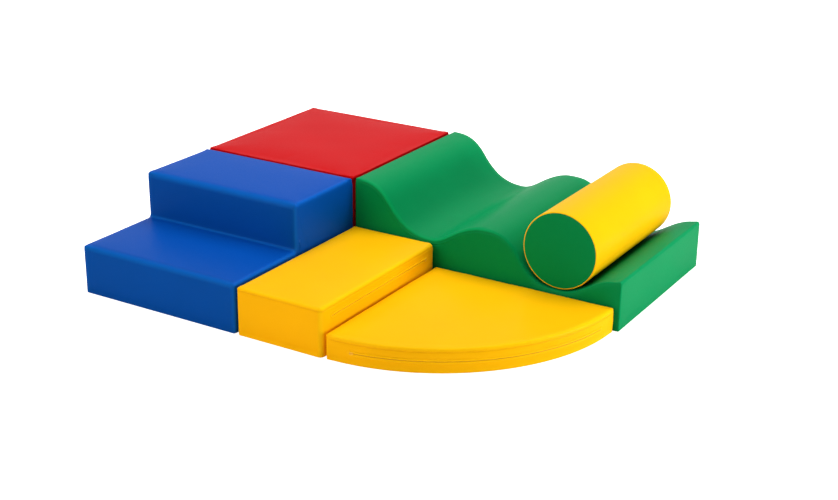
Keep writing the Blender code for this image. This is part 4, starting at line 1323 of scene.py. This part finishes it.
@dataclass
class Stair(Module):
    """The two-step stair. Its section is seen from the right: the band runs over front, treads and back.

    Attributes:
        tread: the depth of the lower step.
        step: its height.
        radii: the roundings, from the foot's front on.
        below_riser: how far behind the riser the point below it lies.
        side_fades: how far from the left and the right side the nosings get sharper.
        right_share: how sharp they get at the right side beside the left one.
    """

    rooms: Rooms = ((Side.LEFT, 2.0), (Side.FRONT, 2.5), (Side.TOP, 4.5))
    tread: float = 300.0 * MM
    step: float = 154.0 * MM
    # The foot's front, middle and back, the deck's back and nosing, the inner corner and the lower nosing.
    radii: tuple[float, ...] = (4.0 * MM, 0.0, 4.0 * MM, 4.0 * MM, 20.0 * MM, 11.0 * MM, 17.0 * MM)
    below_riser: float = 16.0 * MM
    side_fades: tuple[float, float] = (32.0 * MM, 24.0 * MM)
    right_share: float = 0.5
    zip_side: Side = Side.LEFT
    eased: tuple[Side, ...] = (Side.RIGHT, Side.BACK)
    bulge: float = 2.5 * MM

    def shell(self) -> SewnShell:
        """Describes the cover: an L-shaped section carried from the left side to the right."""
        width, depth, height = self.size
        # The point on the floor below the riser keeps the end panels' grid inside the section.
        below = (self.tread + self.below_riser, 0)
        steps = [(depth, height), (self.tread, height), (self.tread, self.step), (0, self.step)]
        corners = np.array([(0, 0), below, (depth, 0), *steps])
        lower, upper = round(self.tread / self.part), round((depth - self.tread) / self.part)
        riser, front = round((height - self.step) / self.part), round(self.step / self.part)
        # Each part of the foot has as many parts as the sides above it and one rounded corner.
        arc = Outline.arc_parts
        parts = np.array([lower + arc, riser + upper + arc, front, upper, riser, lower, front])
        outline = Outline(corners, np.array(self.radii), parts, (0, 2, 3, 6))
        return SewnShell(
            "stair_sewn_cover",
            outline,
            Laying.ALONG_X,
            tuple(self.low),
            width,
            rim=8.0 * MM,
            end_seam=0.0,
            fullness=snug_near(depth - outline.loop()[:, 0], 0.3),
        )

    def inside(self, points: Array) -> Array:
        """Returns how far points lie inside the section, where riser and tread meet at an inner corner."""
        behind, below = points[:, 1] - self.low[1] - self.tread, self.step - points[:, 2]
        over = np.where(below > 0, np.hypot(np.maximum(behind, 0), below), behind)
        return np.minimum(np.where(behind > 0, over, below), self.size[2] - points[:, 2])

    def point_corners(self, piece: bpy.types.Object) -> None:
        """Sharpens both nosings towards the side panels, which are cut with sharper corners."""
        points = read_points(piece.data)
        left, right = points[:, 0] - self.low[0], self.high[0] - points[:, 0]
        share = np.exp(-((left / self.side_fades[0]) ** 2))
        share += self.right_share * np.exp(-((right / self.side_fades[1]) ** 2))
        nosings = ((self.tread, self.size[2], self.radii[4]), (0.0, self.step, self.radii[6]))
        for front, top, radius in nosings:
            plane = np.column_stack([self.low[1] - points[:, 1], points[:, 2]])
            centre = np.array([-front - radius, top - radius])
            plane = sharpen(plane, centre, radius, self.sharp, share)
            points[:, 1], points[:, 2] = self.low[1] - plane[:, 0], plane[:, 1]
        write_points(piece.data, points)


@dataclass
class Block(Module):
    """A plain block whose band runs round its four sides, with a panel sewn in at the top.

    Attributes:
        seam_drop: how far below the top's edge the seam runs.
        rim: the radius of the top's edges.
        radii: the rounding of the upright edges, from the front left one on.
        snug: the rims' fullness where neighbours stand.
        lid: whether the top panel has a sharp front right corner over an upright edge that bends widely.
        lid_height: how far below the top's edge the sharp corner fades out.
        lid_fade: how far above that it is fully sharp.
    """

    seam_drop: float = 10.5 * MM
    rim: float = 4.5 * MM
    radii: tuple[float, ...] = (5.0 * MM,) * 4
    snug: float = 0.4
    lid: bool = False
    lid_height: float = 12.0 * MM
    lid_fade: float = 5.0 * MM

    def shell(self) -> SewnShell:
        """Describes the cover: a rounded rectangle carried upwards."""
        width, depth, height = self.size
        outline = rectangle(width, depth, self.radii, self.part)
        line = outline.loop()
        x, y = line.T
        gaps = {Side.LEFT: x, Side.RIGHT: width - x, Side.FRONT: y, Side.BACK: depth - y}
        beside = np.min([gaps[side] for side in self.eased if side is not self.zip_side], axis=0)
        return SewnShell(
            f"{self.name}_sewn_cover",
            outline,
            Laying.UPWARDS,
            tuple(self.low),
            height,
            rim=self.rim,
            end_seam=0.0,
            band_seams=(height - self.seam_drop,),
            foot=self.foot,
            recess=self.recess,
            fullness=snug_near(beside, self.snug),
        )

    def point_corners(self, piece: bpy.types.Object) -> None:
        """Sharpens the front right corner of a top panel that covers a widely bent upright edge."""
        if self.lid:
            points = read_points(piece.data)
            radius = self.radii[1]
            share = np.clip((points[:, 2] - self.size[2] + self.lid_height) / self.lid_fade, 0, 1)
            plane = np.column_stack([points[:, 0], -points[:, 1]])
            centre = np.array([self.high[0], -self.low[1]]) - radius
            plane = sharpen(plane, centre, radius, self.sharp, share)
            points[:, 0], points[:, 1] = plane[:, 0], -plane[:, 1]
            write_points(piece.data, points)


@dataclass
class Wave(Module):
    """The wave. Its section is seen from the front: the band runs over the top line between two side panels.

    Attributes:
        deck: the height of the high end.
        dip: the height between it and the hump.
        hump: the hump's height.
        valley: the height under the roller.
        end: the height of the low end.
        brow_drop: how far the line has come down where it leaves the deck.
        radii: the roundings of the foot's left and right, the low end's top and the deck's left edge.
        clear: how far from both ends the measured line ends.
        top_parts: the number of parts of the top.
        side_parts: the number of parts of each end's height.
        shares: the knots' places as shares of the length.
        levels: for each knot, the two heights that it lies between and how far from the first to the second.
        steepness: for each knot, how steep the line is beside its neighbours' mean slope.
        snug_from: how far from the left end the rims begin to get snug.
        snug_over: how much farther on they are snug.
        snug_share: how much less full they are from there on.
        end_fullness: the rims' fullness at the low end.
        end_reach: how far from the low end it reaches.
        press_gap: how far the pressed valley stays off the roller.
        press_fade: how far beyond the roller's ends the valley is pressed in.
    """

    rooms: Rooms = (
        (Side.RIGHT, 2.5),
        (Side.BACK, 2.0),
        (Side.TOP, 4.0),
        (Side.FRONT, 0.3),
    )
    deck: float = 303.0 * MM
    dip: float = 156.0 * MM
    hump: float = 225.0 * MM
    valley: float = 81.0 * MM
    end: float = 155.0 * MM
    brow_drop: float = 4.5 * MM
    radii: tuple[float, ...] = (4.0 * MM, 4.0 * MM, 9.0 * MM, 3.0 * MM)
    clear: float = 22.0 * MM
    top_parts: int = 78
    side_parts: int = 18
    shares: tuple[float, ...] = (0.0, 0.06, 0.138, 0.306, 0.388, 0.501, 0.637, 0.79, 0.966, 1.0)
    levels: tuple[tuple[str, str, float], ...] = (
        ("deck", "dip", 0.0),
        ("brow", "dip", 0.0),
        ("dip", "brow", 0.614),
        ("dip", "hump", 0.0),
        ("hump", "dip", 0.51),
        ("hump", "valley", 0.0),
        ("valley", "hump", 0.51),
        ("valley", "end", 0.0),
        ("end", "valley", 0.09),
        ("end", "valley", 0.0),
    )
    steepness: tuple[float, ...] = (0.0, 0.6, 2.28, 0.0, 1.57, 0.0, 3.05, 0.0, 0.27, 0.1)
    snug_from: float = 450.0 * MM
    snug_over: float = 180.0 * MM
    snug_share: float = 0.65
    end_fullness: float = 0.6
    end_reach: float = 30.0 * MM
    press_gap: float = 0.5 * MM
    press_fade: float = 15.0 * MM
    eased: tuple[Side, ...] = (Side.LEFT, Side.FRONT)
    bulge: float = 2.5 * MM

    @property
    def brow(self) -> float:
        """The height where the line leaves the deck."""
        return self.deck - self.brow_drop

    def top_line(self, places: Array) -> Array:
        """Works out the top's height.

        Between two knots the line is the cubic through both heights and slopes:
        z0 (1 + 2t)(1 - t)^2 + z1 t^2 (3 - 2t) + run (s0 t (1 - t)^2 - s1 t^2 (1 - t)).

        Args:
            places: distances from the left end.

        Returns:
            The heights there.
        """
        near, far = (np.array([getattr(self, level[end]) for level in self.levels]) for end in (0, 1))
        height = near + np.array([level[2] for level in self.levels]) * (far - near)
        knot = self.size[0] * np.array(self.shares)
        last = len(knot) - 1
        left, right = np.maximum(np.arange(last + 1) - 1, 0), np.minimum(np.arange(last + 1) + 1, last)
        slope = np.array(self.steepness) * (height[right] - height[left]) / (knot[right] - knot[left])
        index = np.clip(np.searchsorted(knot, places, "right") - 1, 0, last - 1)
        run = knot[index + 1] - knot[index]
        t = (places - knot[index]) / run
        rise = height[index] * (1 + 2 * t) * (1 - t) ** 2 + height[index + 1] * t * t * (3 - 2 * t)
        return rise + run * (slope[index] * t * (1 - t) ** 2 - slope[index + 1] * t * t * (1 - t))

    def inside(self, points: Array) -> Array:
        """Returns how far points lie below the top line."""
        return self.top_line(np.clip(points[:, 0] - self.low[0], 0, self.size[0])) - points[:, 2]

    def shell(self) -> SewnShell:
        """Describes the cover: the section under the top line carried from the back to the front."""
        length, depth = self.size[:2]
        places = np.linspace(length - self.clear, self.clear, self.top_parts)
        line = np.column_stack([places, self.top_line(places)])
        corners = np.concatenate([[(0, 0), (length, 0), (length, self.end)], line, [(0, self.deck)]])
        last = len(corners) - 1
        radii = np.zeros(len(corners))
        radii[[0, 1, 2, last]] = self.radii
        parts = np.ones(len(corners), int)
        parts[[2, last - 1]] = 2
        parts[0] = self.top_parts + 3
        parts[[1, last]] = self.side_parts
        outline = Outline(corners, radii, parts, (0, 1, 2, last))
        origin = (self.low[0], self.high[1], self.low[2])
        # The rims are full from the deck to the hump, snug from the valley on and fuller at the low end.
        left = outline.loop()[:, 0]
        valley = 1 - self.snug_share * np.clip((left - self.snug_from) / self.snug_over, 0, 1)
        at_end = self.end_fullness * np.clip(1 - (length - left) / self.end_reach, 0, 1)
        fullness = np.maximum(np.minimum(snug_near(left, 0.3), valley), at_end)
        return SewnShell(
            "wave_sewn_cover", outline, Laying.TOWARDS_FRONT, origin, depth, foot=self.foot, fullness=fullness
        )

    def press(self, piece: bpy.types.Object) -> None:
        """Presses the valley in under the roller, so that every point stays press_gap off it."""
        low, high = (np.array(corner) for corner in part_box("roller_cover"))
        points = read_points(piece.data)
        spoke = (points - (low + high) / 2) * (1, 0, 1)
        away = np.linalg.norm(spoke, axis=1)
        least = (high[2] - low[2]) / 2 + self.press_gap
        beyond = np.maximum(low[1] - points[:, 1], points[:, 1] - high[1])
        push = np.maximum(least - away, 0) * np.clip(1 - beyond / self.press_fade, 0, 1)
        write_points(piece.data, points + spoke * (push / np.maximum(away, MM))[:, None])


@dataclass
class QuarterMat(Module):
    """The quarter-circle mat. The band runs round its straight sides and its arc.

    Attributes:
        radius: the arc's radius.
        tip: how far from the tips the arc's first and last points lie, in radians.
        seam_drop: how far below the top's edge the seam runs.
        radii: the roundings of the corner at the arc's centre and the tips beside the block and the wave.
        zip_share: the zip's height as a share of the mat's.
        zip_start: the angle between the zip's ends and the arc's, in radians.
        zip_band: how far inside the arc the zip still holds the cloth.
    """

    rooms: Rooms = ((Side.RIGHT, 1.5), (Side.FRONT, 1.5), (Side.TOP, 4.0))
    radius: float = 594.1 * MM
    tip: float = 0.03
    seam_drop: float = 13.5 * MM
    radii: tuple[float, ...] = (6.0 * MM, 5.0 * MM, 4.0 * MM)
    zip_share: float = 0.45
    zip_points: int = 160
    zip_start: float = math.radians(7.5)
    zip_hold: float = 12.0 * MM
    zip_band: float = 30.0 * MM
    eased: tuple[Side, ...] = (Side.LEFT, Side.BACK)

    def shell(self) -> SewnShell:
        """Describes the cover: a quarter circle carried upwards."""
        half = round(self.radius * np.pi / 4 / self.part)
        angle = np.pi / 2 * np.arange(1, 2 * half) / (2 * half)
        angle = angle[(angle > self.tip) & (angle < np.pi / 2 - self.tip)]
        arc = self.radius * np.column_stack([np.sin(angle), -np.cos(angle)])
        corners = np.concatenate([[(0, 0), (0, -self.radius)], arc, [(self.radius, 0)]])
        last = len(corners) - 1
        radii = np.zeros(len(corners))
        radii[[0, 1, last]] = self.radii
        parts = np.ones(len(corners), int)
        parts[[1, last - 1]] = 2
        middle = 2 + len(arc) // 2
        # With their corners' halves, the straight sides have as many parts as the half arcs across.
        parts[0] = parts[middle:last].sum() - 3
        parts[last] = parts[1:middle].sum() - 3
        outline = Outline(corners, radii, parts, (0, 1, middle, last))
        height = self.size[2]
        x, y = outline.loop().T
        return SewnShell(
            "quarter_mat_sewn_cover",
            outline,
            Laying.UPWARDS,
            (self.low[0], self.high[1], self.low[2]),
            height,
            end_seam=0.0,
            band_seams=(height - self.seam_drop,),
            foot=self.foot,
            recess=self.recess,
            fullness=snug_near(np.minimum(x, -y)),
        )

    @property
    def zip_height(self) -> float:
        """The zip's height over the floor."""
        return self.zip_share * (self.size[2] + self.crown)

    def zip(self) -> Zip:
        """Describes the zip round the arc, from its open end at the wave to its closed end at the block."""
        angle = -np.linspace(self.zip_start, np.pi / 2 - self.zip_start, self.zip_points)
        spoke = np.column_stack([np.cos(angle), np.sin(angle), np.zeros(self.zip_points)])
        centre = np.array([self.low[0], self.high[1], self.zip_height])
        return self.new_zip(centre + self.radius * spoke, spoke)

    def held(self, piece: bpy.types.Object) -> Array:
        """Returns 1 for points beside the zip on the arc, falling off above and below it."""
        points = read_points(piece.data)
        reach = np.hypot(points[:, 0] - self.low[0], points[:, 1] - self.high[1])
        near = np.exp(-(((points[:, 2] - self.zip_height) / self.zip_hold) ** 2))
        return near * (reach > self.radius - self.zip_band)


@dataclass
class Roller:
    """The roller: a yellow sleeve rolled over the rims of two green end discs.

    Attributes:
        finishes: the set's finishes.
        radius: the sleeve's radius.
        lip: how far the sleeve reaches over the ends.
        rim: the radius of its rolled rims.
        disc_gap: the gap between the sleeve's lip and a disc.
        disc_rim: the radius of a disc's edges.
        disc_crown: how far a disc stands out in the middle.
        skin: how far inside the radius the sleeve still belongs to the band.
        points: the number of points round it.
        zip_angle: where the zip lies, in radians from the right towards the top.
        zip_margin: how far from the ends the zip ends.
        zip_grip: how fast the zip's hold on the sleeve falls off round the roller.
        slider_stand: how far from the zip's end the closed slider stands.
    """

    finishes: Finishes
    radius: float = 118.5 * MM
    lip: float = 2.8 * MM
    rim: float = 2.5 * MM
    disc_gap: float = 0.2 * MM
    disc_rim: float = 0.55 * MM
    disc_crown: float = 3.0 * MM
    skin: float = 1.0 * MM
    points: int = 120
    zip_angle: float = math.radians(215.0)
    zip_margin: float = 50.0 * MM
    zip_grip: float = 60.0
    slider_stand: float = 6.3 * MM

    @cached_property
    def ends(self) -> tuple[Array, Array]:
        """The sleeve node's lowest and highest corners."""
        low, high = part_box("roller_cover")
        return np.array(low), np.array(high)

    @cached_property
    def axis(self) -> Array:
        """The middle of the roller's axis."""
        return (self.ends[0] + self.ends[1]) / 2

    @cached_property
    def zip_out(self) -> Array:
        """The direction from the axis to the zip."""
        return np.array([math.cos(self.zip_angle), 0, math.sin(self.zip_angle)])

    def sleeve(self) -> bpy.types.Object:
        """Makes the sleeve: a circle carried along the axis, with a recess for the disc in its back end."""
        length = self.ends[1][1] - self.ends[0][1]
        origin = (self.axis[0], self.ends[1][1], self.axis[2])
        shell = SewnShell(
            "roller_sewn_sleeve",
            circle(self.radius, self.points),
            Laying.TOWARDS_FRONT,
            origin,
            length,
            rim=self.rim,
            end_seam=0.0,
            part=14.0 * MM,
            recess=1.5 * MM,
            recess_inset=self.lip,
        )
        return shell.build(self.finishes.get("yellow"))

    def disc(self, name: str, front: bool) -> bpy.types.Object:
        """Makes an end disc, domed by c * (1 - (r / R)^2) over its rim.

        Args:
            name: the piece's name.
            front: whether it closes the front end.

        Returns:
            The new piece.
        """
        low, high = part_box("roller_front_disc" if front else "roller_back_disc")
        # The cloth disc reaches to the sleeve's rolled rim.
        reach = self.radius - self.lip - self.disc_gap
        origin = (self.axis[0], high.y, self.axis[2])
        shell = SewnShell(
            name,
            circle(reach, self.points),
            Laying.TOWARDS_FRONT,
            origin,
            high.y - low.y - self.disc_crown,
            rim=self.disc_rim,
            end_seam=0.0,
            rim_parts=3,
        )
        piece = shell.build(self.finishes.get("green"))
        points = read_points(piece.data)
        far = np.hypot(points[:, 0] - self.axis[0], points[:, 2] - self.axis[2]) / reach
        dome = self.disc_crown * np.clip(1 - far**2, 0, 1)
        points[:, 1] -= dome if front else self.disc_crown - dome
        write_points(piece.data, points)
        return piece

    def zip(self) -> Zip:
        """Describes the zip along the sleeve, on the side turned down and left."""
        half = (self.ends[1][1] - self.ends[0][1]) / 2 - self.zip_margin
        share = np.linspace(-1, 1, 60)[:, None]
        path = self.axis + self.radius * self.zip_out + share * np.array([0, half, 0])
        finishes = (self.finishes.get("yellow" + kind) for kind in ("", "_zip", "_slider"))
        return Zip("roller", path, np.tile(self.zip_out, (len(share), 1)), *finishes, "yellow")

    def build(self) -> None:
        """Makes the sleeve, the discs and the zip."""
        sleeve = self.sleeve()
        spoke = (read_points(sleeve.data) - self.axis) * (1, 0, 1)
        away = np.linalg.norm(spoke, axis=1)
        cosine = (spoke @ self.zip_out) / np.maximum(away, 1e-6)
        near_zip = np.exp((cosine - 1) * self.zip_grip)
        # The cloth of the ends is glued to the foam.
        held = np.where(away < self.radius - self.skin, 1.0, near_zip)
        Filling({side: 0.3 for side in Side}, draw=0.2).apply(sleeve, held)
        self.place(sleeve, "yellow_cover", "roller_cover", "roller_foam")
        for name, front in (("roller_front", True), ("roller_back", False)):
            self.place(self.disc(f"{name}_domed_disc", front), "green_cover", f"{name}_disc")
        zipper = self.zip()
        zipper.build("roller", "roller_zip_runner", zipper.length - self.slider_stand)

    def place(self, piece: bpy.types.Object, slot: str, *nodes: str) -> None:
        """Sets a full piece on the roller's body in the place of the named nodes."""
        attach(piece, "roller")
        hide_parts(*nodes)
        LOG.info("%s: %d faces", piece.name, len(piece.data.polygons))


# Studio


@dataclass(frozen=True)
class Lamp:
    """A large soft area lamp.

    Attributes:
        name: its name.
        place: where it stands.
        aim: what it points at.
        size: the side of its square.
        power: its power in watts.
        colour: its colour.
    """

    name: str
    place: tuple[float, float, float]
    aim: tuple[float, float, float]
    size: float
    power: float
    colour: str = "FFFFFF"

    def build(self) -> None:
        """Adds the lamp."""
        data = bpy.data.lights.new(self.name, "AREA")
        data.size = self.size
        data.energy = self.power
        data.color = linear(self.colour)[:3]
        lamp = bpy.data.objects.new(self.name, data)
        lamp.location = self.place
        lamp.rotation_euler = (Vector(self.aim) - Vector(self.place)).to_track_quat("-Z", "Y").to_euler()
        bpy.context.scene.collection.objects.link(lamp)


@dataclass
class Studio:
    """The white studio: camera, lamps, floor and world.

    Attributes:
        camera_place: the camera's place.
        heading: how far the view turns from the back towards the right, in radians.
        fall: how far it looks down.
        roll: how far it is turned about its own direction.
        focal_pixels: the focal length in the photograph's pixels.
        image_width: the photograph's width in pixels.
        sensor: the sensor's width in millimetres.
        floor_reach: half the floor's side.
        floor_glow: how bright the floor is by itself where the camera sees it.
        dim_world: how bright the world is as light.
        lamps: the lamps.
    """

    # The camera was found by fitting a pinhole camera to the modules' corners in the photograph.
    camera_place: tuple[float, float, float] = (2.2098, -3.5374, 1.7171)
    heading: float = math.radians(-31.182)
    fall: float = math.radians(21.223)
    roll: float = math.radians(0.609)
    focal_pixels: float = 1442.3
    image_width: int = 838
    sensor: float = 36.0
    floor_reach: float = 40.0
    floor_glow: float = 0.9
    dim_world: float = 0.1
    lamps: tuple[Lamp, ...] = (
        Lamp("top_lamp", (0.0, 0.4, 3.2), (0.0, 0.0, 0.1), 3.2, 107.0),
        Lamp("back_lamp", (-0.4, 2.6, 2.4), (0.0, 0.0, 0.1), 2.0, 6.0),
        Lamp("right_lamp", (3.0, 0.55, 0.5), (0.3, -0.1, 0.1), 0.9, 54.0),
        Lamp("front_lamp", (-1.2, -4.2, 1.6), (0.0, 0.0, 0.1), 2.6, 92.0, "FFE5C0"),
        Lamp("left_lamp", (-3.0, 0.8, 2.0), (0.0, 0.0, 0.1), 2.0, 9.0),
    )

    def camera(self) -> None:
        """Adds the camera. Its axes are the view's right, up and back, turned by the roll."""
        sine, cosine = math.sin(self.heading), math.cos(self.heading)
        level = np.array([cosine, -sine, 0.0])
        ahead = np.array([sine, cosine, 0.0])
        forward = math.cos(self.fall) * ahead - math.sin(self.fall) * np.array([0.0, 0.0, 1.0])
        above = np.cross(level, forward)
        right = math.cos(self.roll) * level + math.sin(self.roll) * above
        up = -math.sin(self.roll) * level + math.cos(self.roll) * above
        data = bpy.data.cameras.new("camera")
        data.sensor_width = self.sensor
        data.lens = self.focal_pixels * self.sensor / self.image_width
        camera = bpy.data.objects.new("camera", data)
        turned = Matrix(np.column_stack([right, up, -forward]).tolist()).to_4x4()
        camera.matrix_world = Matrix.Translation(self.camera_place) @ turned
        bpy.context.scene.collection.objects.link(camera)
        bpy.context.scene.camera = camera

    def floor(self) -> None:
        """Adds the floor: white where the camera looks, with the set's soft shadow on it."""
        square = np.array([(-1, -1, 0), (1, -1, 0), (1, 1, 0), (-1, 1, 0)])
        material, nodes, shader = blank("white_floor")
        rays = nodes.add("LightPath").outputs
        seen = nodes.math("ADD", rays["Is Camera Ray"], rays["Is Transmission Ray"])
        glow = nodes.math("MULTIPLY", seen, self.floor_glow, use_clamp=True)
        nodes.feed(shader, "Base Color", linear("F4F4F4"))
        nodes.feed(shader, "Roughness", 0.9)
        nodes.feed(shader, "Specular IOR Level", 0.0)
        nodes.feed(shader, "Emission Color", (1, 1, 1, 1))
        nodes.feed(shader, "Emission Strength", glow)
        make_piece("floor", self.floor_reach * square, np.array([[0, 1, 2, 3]]), material)

    def world(self) -> None:
        """Sets the world: white to the camera, in reflections and through clear things, dim as light."""
        world = bpy.data.worlds.new("studio")
        bpy.context.scene.world = world
        world.use_nodes = True
        nodes = Nodes(world.node_tree)
        back = world.node_tree.nodes["Background"]
        rays = nodes.add("LightPath").outputs
        seen = nodes.math("ADD", rays["Is Camera Ray"], rays["Is Glossy Ray"])
        seen = nodes.math("ADD", seen, rays["Is Transmission Ray"])
        nodes.feed(back, "Color", (1, 1, 1, 1))
        nodes.feed(back, "Strength", nodes.remap(seen, self.dim_world, 1.0))

    def build(self) -> None:
        """Sets up the whole studio."""
        bpy.context.scene.view_settings.view_transform = "Standard"
        self.camera()
        self.floor()
        self.world()
        for lamp in self.lamps:
            lamp.build()
        LOG.info("studio: %d lamps", len(self.lamps))


def dress_strips(finishes: Finishes) -> None:
    """Gives every hook strip and every loop strip its finish."""
    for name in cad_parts:
        if name.endswith("hook_strip"):
            dress(name, finishes.get("hook"))
        elif name.endswith("loop_strip"):
            dress(name, finishes.get("loop"))


def main() -> None:
    """Builds the studio and the set."""
    logging.basicConfig(level=logging.INFO, format="%(name)s: %(message)s")
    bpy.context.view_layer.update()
    Studio().build()
    finishes = Finishes()
    modules = (
        Stair("stair", finishes, "blue", ("stair_lower_foam", "stair_upper_foam"), 3),
        Block(
            "platform",
            finishes,
            "red",
            ("platform_foam",),
            5,
            rooms=((Side.LEFT, 2.0), (Side.BACK, 2.0), (Side.TOP, 4.5)),
            radii=(5.0 * MM, 26.0 * MM, 5.0 * MM, 5.0 * MM),
            eased=(Side.RIGHT, Side.FRONT),
            lid=True,
        ),
        Wave("wave", finishes, "green", ("wave_foam",), 8),
        Block(
            "low_block",
            finishes,
            "yellow",
            ("low_block_foam",),
            11,
            zip_rise=112.0 * MM,
            rooms=((Side.FRONT, 2.5), (Side.TOP, 4.0), (Side.RIGHT, 0.8)),
            zip_side=Side.RIGHT,
            rim=8.0 * MM,
            radii=(4.0 * MM, 14.0 * MM, 12.0 * MM, 10.0 * MM),
            eased=(Side.LEFT, Side.BACK, Side.RIGHT),
            snug=0.8,
        ),
        QuarterMat("quarter_mat", finishes, "yellow", ("quarter_mat_foam",), 13),
    )
    for module in modules:
        module.build()
    Roller(finishes).build()
    dress_strips(finishes)


if __name__ == "__main__":
    main()
